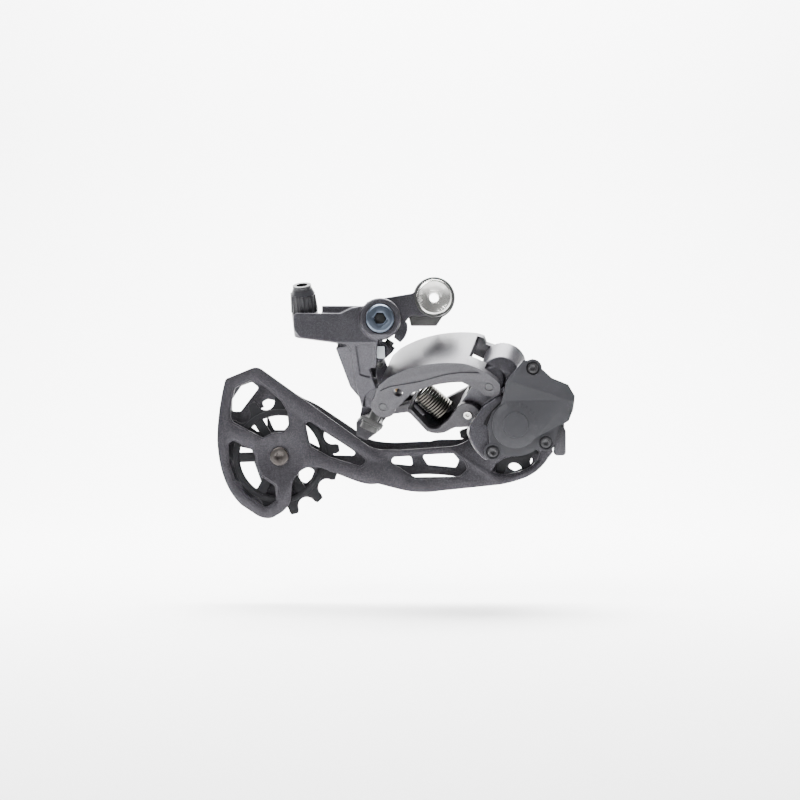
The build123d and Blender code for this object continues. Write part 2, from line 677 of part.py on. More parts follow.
LIMIT_SCREW_R = 1.9
LIMIT_SCREW_LENGTH = 11.0
LIMIT_SCREWS = [
    Plane(origin=LINK.from_local_coords(Vector(39.6, -4.5, depth)), z_dir=LINK.x_dir)
    for depth in (-9.0, -14.0)
]
with BuildPart() as p_knuckle_body:
    # Friction housing behind the cover.
    with BuildSketch(front(HOUSING_FRONT)):
        add(cover_outline(0.3))
        with BuildLine():
            Polyline((30.0, -44.0), (21.5, -50.0), (16.5, -57.0), (15.2, -61.5))
            ThreePointArc((15.2, -61.5), (17.8, -68.3), (23.0, -74.0))
            Polyline((23.0, -74.0), (30.0, -70.0), (30.0, -44.0))
        make_face()
    extrude(amount=-(HOUSING_BACK - HOUSING_FRONT))
    # Right-hand side is shallower.
    with BuildSketch(front(-8.0)):
        with Locations((60.0, -50.0)):
            Rectangle(18.0, 40.0)
    extrude(amount=-20.0, mode=Mode.SUBTRACT)
    with BuildSketch(front(HOUSING_BACK)):
        with Locations(P_AXIS):
            Circle(NECK_R)
    extrude(amount=-(OUTER_PLATE_Y[0] - GAP - HOUSING_BACK))
    # Slanted lug for pivots B and D.
    with BuildSketch(LINK.offset(B_LUG[1])):
        with Locations((LINK_LENGTH + 2.5, -1.0)):
            Circle(9.6)
        with BuildLine():
            Polyline((46, -7), (64, -4), (62, -30), (45, -28), (46, -7))
        make_face()
    link_prism(B_LUG)
    with BuildSketch(LINK.offset(B_NECK[1])):
        with Locations(B):
            Circle(5.6)
    link_prism(B_NECK)
    with BuildSketch(LINK.offset(D_LUG[1])):
        with BuildLine():
            Polyline((D[0] - 4.2, D[1] + 3.6), (48.2, 3.5), (58, -6), (56, -26), (D[0] + 2, D[1] - 5.5))
            Line((D[0] + 2, D[1] - 5.5), (D[0] - 4.2, D[1] + 3.6))
        make_face()
        with Locations(D):
            Circle(5.6)
    link_prism(D_LUG)
    # Rest of the linkage sweeps through these spaces.
    with BuildSketch(LINK.offset(8)):
        with Locations(B):
            Circle(6.0)
        with BuildLine():
            Polyline((52.5, 6.0), (40, 22), (20, 22), (20, -7), (49.5, -5.2), (52.5, 6.0))
        make_face()
    extrude(amount=-(8 - B_NECK[1]), mode=Mode.SUBTRACT)
    with BuildSketch(LINK.offset(B_LUG[0])):
        with Locations(B):
            Circle(6.0)
    extrude(amount=-8, mode=Mode.SUBTRACT)
    for cheek in (INNER_FRONT, INNER_REAR):
        with BuildSketch(LINK.offset(cheek[1] + GAP)):
            with Locations(D):
                Circle(CHEEK_R + 0.7)
        extrude(amount=-(cheek[1] - cheek[0] + 2 * GAP), mode=Mode.SUBTRACT)
    # Cavity for the friction unit, spring chamber and axle bore.
    with BuildSketch(front(HOUSING_FRONT - 1)):
        with Locations(P_AXIS):
            Circle(CAVITY_R)
    extrude(amount=-(8.0 - HOUSING_FRONT + 1), mode=Mode.SUBTRACT)
    with BuildSketch(front(HOUSING_FRONT - 1)):
        with Locations(P_AXIS):
            Circle(5.5)
        for centre in COVER_SCREWS:
            with Locations(centre):
                Circle(1.5)
    extrude(amount=-9.0, mode=Mode.SUBTRACT)
    with BuildSketch(front(HOUSING_FRONT)):
        with Locations(P_AXIS):
            Circle(60)
    extrude(amount=10, mode=Mode.SUBTRACT)
    with BuildSketch(front(7)):
        with Locations(P_AXIS):
            Circle(5.5)
    extrude(amount=-6.0, mode=Mode.SUBTRACT)
    # Pivot bores; the D bore is wide because the linkage is open there.
    with BuildSketch(LINK.offset(2)):
        with Locations(B):
            Circle(PIN_R + FIT)
    extrude(amount=-LINK_DEPTH - 4, mode=Mode.SUBTRACT)
    with BuildSketch(LINK.offset(D_LUG[1] + 1)):
        with Locations(D):
            Circle(PIN_R + OPEN_PIVOT_GAP)
    extrude(amount=-15, mode=Mode.SUBTRACT)
    for seat in LIMIT_SCREWS:
        with BuildSketch(seat.offset(-4)):
            Circle(LIMIT_SCREW_R)
        extrude(amount=LIMIT_SCREW_LENGTH + 4, mode=Mode.SUBTRACT)
    # Lug and bore for the shaft of the friction switch.
    with BuildSketch(front(HOUSING_FRONT)):
        with Locations((LEVER_AXIS[0] - 0.6, LEVER_AXIS[1] + 1.6)):
            Circle(3.4)
    extrude(amount=-8.0)
    with BuildSketch(front(HOUSING_FRONT - 1)):
        with Locations(LEVER_AXIS):
            Circle(1.6 + FIT)
    extrude(amount=-12.0, mode=Mode.SUBTRACT)
    with BuildSketch(front(HOUSING_FRONT - 1)):
        with Locations(LEVER_AXIS):
            Circle(3.6)
        with Locations((LEVER_AXIS[0] + 3, LEVER_AXIS[1] - 6)):
            Rectangle(12, 12)
    extrude(amount=-5.4, mode=Mode.SUBTRACT)
save(p_knuckle_body.part, "p_knuckle_body")

with BuildPart() as limit_screws:
    for seat in LIMIT_SCREWS:
        with BuildSketch(seat):
            Circle(LIMIT_SCREW_R - 0.01)
        extrude(amount=LIMIT_SCREW_LENGTH)
        with BuildSketch(seat):
            RegularPolygon(1.15, 6)
        extrude(amount=2.4, mode=Mode.SUBTRACT)
save(limit_screws.part, "limit_screws")

with BuildPart() as cover_gasket:
    with BuildSketch(front(HOUSING_FRONT - 0.02)):
        add(cover_outline(0.9))
        with BuildLine():
            Polyline(
                (40.1, -28.9), (33.4, -36.6), (30.4, -46.9), (27.5, -49.6), (23.0, -55.0), (21.9, -57.7),
                (23.9, -59.0), (29.8, -51.8), (34.9, -46.9), (37.6, -37.5), (41.4, -29.8), close=True,
            )
        make_face()
        with Locations(P_AXIS):
            Circle(CAVITY_R + 0.6, mode=Mode.SUBTRACT)
        for centre in COVER_SCREWS:
            with Locations(centre):
                Circle(2.2, mode=Mode.SUBTRACT)
    extrude(amount=0.5)
save(cover_gasket.part, "cover_gasket")

COVER_BACK = HOUSING_FRONT - 0.54
COVER_RIM = -24.0
CREST_LEFT = (33.8, -28.0, -38.4)
CREST_RIGHT = (59.9, -25.4, -46.9)
SLOPE_TOP = (42.6, -24.2, -29.4)
FACET_FOOT = (31.8, -25.4, -46.9)


def facet(first, second, third):
    """Plane through three corners of a facet, facing outboard."""
    along = Vector(*second) - Vector(*first)
    return Plane(origin=first, x_dir=along, z_dir=along.cross(Vector(*third) - Vector(*first)))


with BuildPart() as stabilizer_cover:
    # Crest between the upper slope and the dark facet below it.
    with BuildSketch(front(COVER_BACK)):
        add(cover_outline(0))
    extrude(amount=COVER_BACK - CREST_LEFT[1] + 1)
    for cut in (facet(CREST_LEFT, CREST_RIGHT, SLOPE_TOP), facet(CREST_RIGHT, CREST_LEFT, FACET_FOOT)):
        with BuildSketch(cut):
            Rectangle(160, 160)
        extrude(amount=20, mode=Mode.SUBTRACT)
    with BuildSketch(front(COVER_BACK)):
        add(cover_outline(0))
    extrude(amount=COVER_BACK - COVER_RIM)
    # Raised body, then the dome and disc over the pivot axle.
    with BuildSketch(front(COVER_RIM)):
        with BuildLine():
            Polyline(
                (31.8, -46.9), (59.9, -46.9), (60.2, -54.0), (58.8, -56.3), (45.6, -63.6), (40, -66),
                (28, -60), close=True,
            )
        make_face()
        with Locations(P_AXIS):
            Circle(BODY_R)
    extrude(amount=COVER_RIM - COVER_FRONT)
    for radius, rise, taper in ((BODY_R, 1.2, 68.0), (DISC_R, 1.7, 30.0)):
        with BuildSketch(front(COVER_FRONT)):
            with Locations(P_AXIS):
                Circle(radius)
        extrude(amount=rise, taper=taper)
    for centre in COVER_SCREWS:
        with BuildSketch(front(COVER_BACK)):
            with Locations(centre):
                Circle(COVER_BOSS_R - 0.3)
        extrude(amount=2.6)
    with BuildSketch(front(COVER_BACK + 1)):
        with Locations(P_AXIS):
            Circle(CAVITY_R)
    extrude(amount=2.8, mode=Mode.SUBTRACT)
    for centre in COVER_SCREWS:
        with BuildSketch(front(COVER_BACK - 1.6)):
            with Locations(centre):
                Circle(3.1)
        extrude(amount=12.0, mode=Mode.SUBTRACT)
        with BuildSketch(front(COVER_BACK + 1)):
            with Locations(centre):
                Circle(1.6)
        extrude(amount=12.0, mode=Mode.SUBTRACT)
save(stabilizer_cover.part, "stabilizer_cover")

with BuildPart() as cover_bolts:
    for centre in COVER_SCREWS:
        with BuildSketch(front(COVER_BACK - 1.62)):
            with Locations(centre):
                Circle(2.3)
        extrude(amount=1.5)
        with BuildSketch(front(COVER_BACK - 1.62)):
            with Locations(centre):
                Circle(1.46)
        extrude(amount=-8.0)
        with BuildSketch(front(COVER_BACK - 3.2)):
            with Locations(centre):
                RegularPolygon(1.2, 6)
        extrude(amount=-1.2, mode=Mode.SUBTRACT)
save(cover_bolts.part, "cover_bolts")

# Friction unit inside the housing: axle sleeve, roller clutch, band and cam.
CLUTCH_Y = (-16.5, -8.5)
SLEEVE_R = 5.2
CLUTCH_R = 7.8


def ring_part(y_from, y_to, outer, inner, name, slit=0.0):
    """Plain ring round the P-axis, with an optional slit on its right."""
    with BuildPart() as ring:
        with BuildSketch(front(y_from)):
            with Locations(P_AXIS):
                Circle(outer)
                Circle(inner, mode=Mode.SUBTRACT)
            if slit:
                with Locations((P_AXIS[0] + outer, P_AXIS[1])):
                    Rectangle(outer, slit, mode=Mode.SUBTRACT)
        extrude(amount=-(y_to - y_from))
    save(ring.part, name)


ring_part(*CLUTCH_Y, SLEEVE_R, P_AXLE_R + 0.01, "clutch_sleeve")
ring_part(*CLUTCH_Y, CLUTCH_R, SLEEVE_R + 0.35, "roller_clutch")
ring_part(CLUTCH_Y[0] + 1, CLUTCH_Y[1] - 1, CLUTCH_R + 0.9, CLUTCH_R + 0.02, "friction_band", 2.4)
ring_part(8.2, OUTER_PLATE_Y[0] - 0.8, 5.5, P_AXLE_R + FIT, "p_axle_bushing")
ring_part(-7.2, 6.8, 9.4, 7.6, "cage_spring")

with BuildPart() as p_axle:
    with BuildSketch(front(-18.6)):
        with Locations(P_AXIS):
            Circle(P_AXLE_R)
    extrude(amount=-(OUTER_PLATE_Y[1] + 18.6))
    with BuildSketch(front(CLUTCH_Y[0] - 0.1)):
        with Locations(P_AXIS):
            Circle(5.0)
    extrude(amount=1.2)
    with BuildSketch(front(OUTER_PLATE_Y[1] + 1)):
        with Locations(P_AXIS):
            Circle(M5_R)
    extrude(amount=9.0, mode=Mode.SUBTRACT)
save(p_axle.part, "p_axle")

with BuildPart() as switch_lever:
    with BuildSketch(front(HOUSING_FRONT + 0.4)):
        with Locations(LEVER_AXIS):
            Circle(3.0)
        with Locations((LEVER_AXIS[0] + 0.3, LEVER_AXIS[1] - 5.0)):
            RectangleRounded(5.4, 11.0, 1.6)
    extrude(amount=-3.6)
    with BuildSketch(front(HOUSING_FRONT + 3.6)):
        with Locations(LEVER_AXIS):
            Circle(1.6)
    extrude(amount=-7.0)
save(switch_lever.part, "switch_lever")

# ================================================================ cage

def outer_plate_outline():
    """Outline of the outer cage plate."""
    with BuildSketch(Plane.XY) as outline:
        with BuildLine():
            Spline((-97.4, -38.5), (-96.7, -37.1), (-95.3, -36.4))
            Line((-95.3, -36.4), (-85.1, -32.2))
            Spline((-85.1, -32.2), (-82.7, -31.7), (-79.9, -32.7))
            Line((-79.9, -32.7), (-35.2, -64.8))
            Spline((-35.2, -64.8), (-31.9, -67.3), (-28.2, -69.2), (-22.6, -70.1), (-15.6, -70.2))
            Line((-15.6, -70.2), (7.7, -68.6))
            Spline((7.7, -68.6), (15.1, -66.2), (22.0, -58.0))
            Polyline((22.0, -58.0), (28.0, -45.0), (36.0, -38.9))
            ThreePointArc((36.0, -38.9), (56.9, -62.4), (40.3, -84.0))
            Spline((40.3, -84.0), (35.7, -85.4), (31.0, -86.4))
            Line((31.0, -86.4), (3.0, -89.3))
            Spline((3.0, -89.3), (-4.0, -89.9), (-10.0, -89.6), (-15.6, -88.6))
            Line((-15.6, -88.6), (-48.2, -80.3))
            Spline((-48.2, -80.3), (-56.6, -78.1), (-59.9, -78.8), (-63.2, -81.2), (-65.5, -84.7))
            Spline((-65.5, -84.7), (-66.2, -89.8), (-67.1, -94.9), (-69.7, -98.4), (-73.0, -100.6))
            Spline((-73.0, -100.6), (-77.2, -102.1), (-79.9, -101.7), (-82.3, -100.7))
            Line((-82.3, -100.7), (-89.7, -95.8))
            Spline((-89.7, -95.8), (-95.8, -87.5), (-99.5, -76.7), (-100.9, -65.5))
            Spline((-100.9, -65.5), (-100.0, -52.5), (-97.4, -38.5))
        make_face()
    return outline.sketch


WINDOWS = (
    (
        (-94.6, -54.8), (-94.2, -47.8), (-92.5, -41.3), (-85.1, -37.6), (-82.3, -38.3), (-76.2, -42.7),
        (-71.1, -47.4), (-68.3, -52.2), (-67.6, -58.6), (-70.6, -62.0), (-75.8, -62.4), (-79.7, -64.5),
        (-93.4, -57.2),
    ),
    (
        (-95.6, -67.2), (-93.5, -65.8), (-85.1, -69.7), (-83.2, -73.0), (-82.7, -77.7), (-80.4, -82.6),
        (-74.0, -87.0), (-73.4, -94.0), (-78.2, -97.0), (-86.9, -91.4), (-92.1, -85.1), (-95.4, -76.0),
    ),
    (
        (-59.7, -57.6), (-57.8, -56.9), (-33.8, -72.5), (-31.2, -75.3), (-33.8, -77.9), (-48.2, -73.5),
        (-57.4, -68.4),
    ),
    (
        (-20.3, -75.3), (-17.8, -73.0), (9.1, -71.8), (14.6, -75.8), (15.8, -79.2), (12.3, -82.6),
        (-8.6, -82.9), (-12.6, -80.6),
    ),
    (
        (27.0, -80.4), (28.8, -77.0), (32.4, -74.4), (40.3, -72.1), (49.2, -69.8), (48.7, -75.1),
        (45.0, -78.1), (39.9, -80.4), (33.3, -81.7),
    ),
)
INNER_WINDOWS = (
    ((-94.6, -46.4), (-90.5, -40.3), (-85.4, -38.4), (-82.1, -41.0), (-90.7, -52.3), (-94.8, -52.3)),
    ((-80.7, -47.8), (-77.8, -46.4), (-70.3, -48.3), (-67.0, -55.0), (-69.3, -61.0), (-75.0, -61.0)),
    ((-87.7, -58.2), (-83.5, -52.1), (-78.5, -49.6), (-78.3, -59.2), (-82.5, -62.0)),
    ((-92.9, -68.6), (-85.4, -70.2), (-84.4, -76.1), (-80.7, -86.5), (-83.5, -88.8), (-89.1, -85.5)),
    ((-61.3, -58.2), (-58.0, -57.7), (-43.4, -66.9), (-34.0, -73.2), (-46.3, -72.9), (-59.4, -66.2)),
    ((-63.2, -79.4), (-60.9, -77.8), (-55.8, -79.9), (-57.4, -83.8), (-59.9, -86.2), (-63.2, -84.6)),
    ((-19.4, -73.8), (-10.4, -73.3), (-9.4, -77.9), (-19.6, -76.8)),
    ((-5.6, -72.6), (9.4, -71.9), (12.2, -75.2), (10.8, -78.7), (-2.5, -77.4)),
    ((34.3, -78.0), (40.9, -74.7), (48.0, -73.8), (46.0, -77.1), (38.5, -80.4)),
)


def window_sketch(corners, grow):
    """One rounded window of a cage plate, grown on every side."""
    with BuildSketch(Plane.XY) as opening:
        with BuildLine():
            Polyline(*corners, close=True)
        make_face()
        fillet(opening.vertices(), 1.2)
        if grow:
            offset(amount=grow)
    return opening.sketch


DISH_R = 11.6
DISH_DEPTH = 1.2
with BuildPart() as outer_cage_plate:
    with BuildSketch(front(OUTER_PLATE_Y[0])):
        add(outer_plate_outline())
    extrude(amount=-(OUTER_PLATE_Y[1] - OUTER_PLATE_Y[0]))
    for corners in WINDOWS:
        with BuildSketch(front(OUTER_PLATE_Y[0] - 1)):
            add(window_sketch(corners, 0))
        extrude(amount=-6, mode=Mode.SUBTRACT)
        with BuildSketch(front(OUTER_PLATE_Y[0])):
            add(window_sketch(corners, 0.9))
        extrude(amount=-0.5, mode=Mode.SUBTRACT)
    # Dished seat of the lower pulley bolt.
    with BuildSketch(front(OUTER_PLATE_Y[0])):
        with Locations(TENSION_AXIS):
            Circle(DISH_R)
    extrude(amount=-DISH_DEPTH, taper=79.0, mode=Mode.SUBTRACT)
    with BuildSketch(front(OUTER_PLATE_Y[0])):
        with Locations(TENSION_AXIS):
            Circle(5.4)
    extrude(amount=-DISH_DEPTH, mode=Mode.SUBTRACT)
    with BuildSketch(front(OUTER_PLATE_Y[0] - 2)):
        with Locations(TENSION_AXIS):
            Circle(M5_R)
        with Locations(P_AXIS):
            Circle(P_AXLE_R)
    extrude(amount=-6.0, mode=Mode.SUBTRACT)
save(outer_cage_plate.part, "outer_cage_plate")

with BuildPart() as inner_cage_plate:
    with BuildSketch(front(INNER_PLATE_Y[0])):
        with BuildLine():
            Spline((-96.6, -40.5), (-94.4, -37.2), (-85.0, -34.2), (-81.4, -34.6), (-78.0, -36.4))
            Line((-78.0, -36.4), (-60.4, -46.4))
            Spline((-60.4, -46.4), (-53.3, -49.9), (-48.6, -53.0), (-39.2, -59.3), (-34.5, -62.7))
            Spline((-34.5, -62.7), (-29.8, -65.4), (-25.0, -66.5), (-15.6, -66.9), (-1.5, -66.4))
            Spline((-1.5, -66.4), (7.9, -65.5), (15.5, -64.8), (22.0, -58.0))
            Polyline((22.0, -58.0), (28.0, -45.0), (36.0, -38.9))
            ThreePointArc((36.0, -38.9), (56.9, -62.4), (40.3, -84.0))
            Spline((40.3, -84.0), (31.5, -86.0), (22.1, -85.0), (7.9, -82.6), (-10.0, -82.2), (-22.0, -84.6))
            Spline(
                (-22.0, -84.6), (-39.2, -84.1), (-52.0, -81.3), (-60.0, -88.5), (-68.0, -96.5),
                (-77.5, -99.0),
            )
            Spline((-77.5, -99.0), (-88.5, -93.8), (-94.5, -86.0), (-98.0, -75.6), (-99.2, -64.5))
            Spline((-99.2, -64.5), (-98.6, -52.0), (-96.6, -40.5))
        make_face()
    extrude(amount=-(INNER_PLATE_Y[1] - INNER_PLATE_Y[0]))
    for corners in INNER_WINDOWS:
        with BuildSketch(front(INNER_PLATE_Y[0] - 1)):
            add(window_sketch(corners, 0))
        extrude(amount=-6, mode=Mode.SUBTRACT)
    with BuildSketch(front(INNER_PLATE_Y[0] - 1)):
        with Locations(TENSION_AXIS, P_AXIS):
            Circle(M5_R)
    extrude(amount=-6, mode=Mode.SUBTRACT)
save(inner_cage_plate.part, "inner_cage_plate")


def pulley(centre, teeth, turn, name):
    """Chain pulley with a raised rim, a hub and six windows between spokes."""
    pitch_angle = 2 * pi / teeth
    pitch_r = CHAIN_PITCH / (2 * sin(pi / teeth))
    tip_r = pitch_r + TOOTH_RISE
    rim_r = pitch_r - RIM_INSET
    flare = pitch_angle / 2 - TIP_HALF / tip_r
    spread = ROLLER_SEAT_R / pitch_r
    with BuildPart() as wheel:
        with BuildSketch(front(PULLEY_Y - TOOTH_WIDTH / 2)):
            with Locations(centre):
                Circle(tip_r)
                with PolarLocations(pitch_r, teeth, start_angle=turn):
                    Circle(ROLLER_SEAT_R, mode=Mode.SUBTRACT)
                for tooth in range(teeth):
                    mid = radians(turn) + tooth * pitch_angle
                    corners = [
                        (radius * cos(mid + side), radius * sin(mid + side))
                        for radius, side in (
                            (pitch_r, -spread),
                            (pitch_r, spread),
                            (tip_r + 0.6, flare),
                            (tip_r + 0.6, -flare),
                        )
                    ]
                    Polygon(*corners, align=None, mode=Mode.SUBTRACT)
        extrude(amount=-TOOTH_WIDTH)
        for face_y, way in ((PULLEY_Y - TOOTH_WIDTH / 2, 1), (PULLEY_Y + TOOTH_WIDTH / 2, -1)):
            with BuildSketch(front(face_y)):
                with Locations(centre):
                    Circle(rim_r)
                    Circle(rim_r - RIM_WIDTH, mode=Mode.SUBTRACT)
            extrude(amount=way * 0.9)
            with BuildSketch(front(face_y)):
                with Locations(centre):
                    Circle(PULLEY_HUB_R)
            extrude(amount=way * 2.2)
        # Windows between the spokes.
        with BuildSketch(front(0)):
            with Locations(centre):
                Circle(rim_r - RIM_WIDTH - 0.6)
                Circle(PULLEY_HUB_R + 1.6, mode=Mode.SUBTRACT)
                with PolarLocations(0, SPOKES // 2, start_angle=turn + SPOKE_TURN, angular_range=180):
                    Rectangle(60, SPOKE_WIDTH, mode=Mode.SUBTRACT)
        extrude(amount=-40, mode=Mode.SUBTRACT)
        with BuildSketch(front(0)):
            with Locations(centre):
                Circle(BUSH_R + 0.05)
        extrude(amount=-40, mode=Mode.SUBTRACT)
    save(wheel.part, name)


def pulley_bush(centre, name):
    """Steel sleeve that the pulley turns on."""
    with BuildPart() as bush:
        with BuildSketch(front(OUTER_PLATE_Y[1])):
            with Locations(centre):
                Circle(BUSH_R)
                Circle(M5_R + 0.02, mode=Mode.SUBTRACT)
        extrude(amount=-(INNER_PLATE_Y[0] - OUTER_PLATE_Y[1]))
    save(bush.part, name)


pulley(P_AXIS, GUIDE_TEETH, 12.4, "guide_pulley")
pulley(TENSION_AXIS, TENSION_TEETH, -6.2, "tension_pulley")
pulley_bush(P_AXIS, "guide_bushing")
pulley_bush(TENSION_AXIS, "tension_bushing")

with BuildPart() as guide_bolt:
    with BuildSketch(front(INNER_PLATE_Y[1])):
        with Locations(P_AXIS):
            Circle(4.2)
    extrude(amount=-2.0)
    with BuildSketch(front(INNER_PLATE_Y[1])):
        with Locations(P_AXIS):
            Circle(M5_R - 0.01)
    extrude(amount=16.0)
    with BuildSketch(front(INNER_PLATE_Y[1] + 3)):
        with Locations(P_AXIS):
            RegularPolygon(1.75, 6)
    extrude(amount=2.6, mode=Mode.SUBTRACT)
save(guide_bolt.part, "guide_bolt")

with BuildPart() as tension_bolt:
    with BuildSketch(front(OUTER_PLATE_Y[0] + 0.9)):
        with Locations(TENSION_AXIS):
            Circle(4.3)
    extrude(amount=1.7)
    chamfer(tension_bolt.faces().sort_by(Axis.Y)[0].edges(), 0.4)
    with BuildSketch(front(OUTER_PLATE_Y[0] + 0.9)):
        with Locations(TENSION_AXIS):
            Circle(M5_R - 0.01)
    extrude(amount=-(INNER_PLATE_Y[1] - OUTER_PLATE_Y[0] - 0.6))
    with BuildSketch(front(OUTER_PLATE_Y[0] - 3)):
        with Locations(TENSION_AXIS):
            RegularPolygon(1.75, 6)
    extrude(amount=-4.2, mode=Mode.SUBTRACT)
save(tension_bolt.part, "tension_bolt")

STOP_RADIUS = 17.0
STOP_ANGLE = 215.0
with BuildPart() as cage_stop_pin:
    with BuildSketch(front(5.0)):
        with Locations(P_AXIS):
            with PolarLocations(STOP_RADIUS, 1, start_angle=STOP_ANGLE):
                Circle(1.5)
    extrude(amount=-(OUTER_PLATE_Y[0] - 5.0))
save(cage_stop_pin.part, "cage_stop_pin")
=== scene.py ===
"""Looks of a rear bicycle derailleur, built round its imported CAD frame."""
import json
import logging
from dataclasses import dataclass
from enum import Enum
from math import cos, pi, radians, sin

import bmesh
import bpy
from mathutils import Matrix, Vector


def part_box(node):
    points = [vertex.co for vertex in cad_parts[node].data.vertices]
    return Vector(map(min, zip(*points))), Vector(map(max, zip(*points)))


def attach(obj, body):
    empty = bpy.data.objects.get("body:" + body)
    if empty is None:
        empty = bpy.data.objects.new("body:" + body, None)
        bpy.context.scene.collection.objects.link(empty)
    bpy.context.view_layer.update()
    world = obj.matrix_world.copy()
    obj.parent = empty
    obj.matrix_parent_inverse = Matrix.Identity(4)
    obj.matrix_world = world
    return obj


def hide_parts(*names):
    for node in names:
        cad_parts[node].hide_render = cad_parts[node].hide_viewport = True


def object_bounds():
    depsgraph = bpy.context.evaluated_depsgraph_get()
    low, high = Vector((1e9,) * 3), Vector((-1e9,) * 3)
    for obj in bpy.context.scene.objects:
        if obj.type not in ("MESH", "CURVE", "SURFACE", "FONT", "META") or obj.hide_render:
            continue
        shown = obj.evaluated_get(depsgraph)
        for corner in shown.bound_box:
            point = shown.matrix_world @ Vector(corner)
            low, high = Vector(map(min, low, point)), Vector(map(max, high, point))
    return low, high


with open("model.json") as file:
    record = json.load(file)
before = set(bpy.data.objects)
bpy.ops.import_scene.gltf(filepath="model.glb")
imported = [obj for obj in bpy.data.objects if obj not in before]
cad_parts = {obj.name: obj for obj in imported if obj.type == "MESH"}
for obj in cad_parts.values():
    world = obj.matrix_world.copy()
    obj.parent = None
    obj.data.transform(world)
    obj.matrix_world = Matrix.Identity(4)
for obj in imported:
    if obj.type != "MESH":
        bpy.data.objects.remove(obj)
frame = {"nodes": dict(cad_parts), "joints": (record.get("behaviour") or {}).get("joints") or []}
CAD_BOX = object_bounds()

LOG = logging.getLogger("derailleur")
MM = 0.001
Colour = tuple[float, float, float]
MERGE_GAP = 0.002 * MM
FLAT_ANGLE = 0.6
CREASE_ANGLE = 38.0
CAST_CREASE_ANGLE = 60.0
LATHE_CREASE_ANGLE = 40.0
WIRE_SIDES = 10


# --------------------------------------------------------------------------- finishes
class Surface(Enum):
    """How a finish breaks up the light."""

    FLAKE = "flake"
    BRUSHED = "brushed"
    TURNED = "turned"
    GRAIN = "grain"
    SMOOTH = "smooth"


@dataclass(frozen=True)
class Finish:
    """One finish of the derailleur, as a procedural material.

    Args:
        name: material name.
        colour: main colour, linear.
        second: colour of the flakes, streaks or mottling.
        surface: kind of small-scale break-up.
        metallic: 0 for plastic, 1 for bare metal.
        roughness: mean roughness.
        spread: how far roughness wanders either way.
        scale: small pattern's frequency, per metre.
        amount: how much of the second colour shows.
        bump: height of the small pattern, in metres.
        coat: strength of a clear coat.
        dust: strength of the broad, pale handling haze.
        shine: level of the plain surface reflection.
    """

    name: str
    colour: Colour
    second: Colour
    surface: Surface
    metallic: float
    roughness: float
    spread: float = 0.06
    scale: float = 4200.0
    amount: float = 0.3
    bump: float = 0.00002
    coat: float = 0.0
    dust: float = 0.08
    shine: float = 0.5

    def material(self) -> bpy.types.Material:
        """Returns the finish's material, built once and reused."""
        made = bpy.data.materials.get(self.name)
        if made:
            return made
        made = bpy.data.materials.new(self.name)
        made.use_nodes = True
        made.diffuse_color = (*self.colour, 1.0)
        ShaderMaker(made, self).build()
        return made


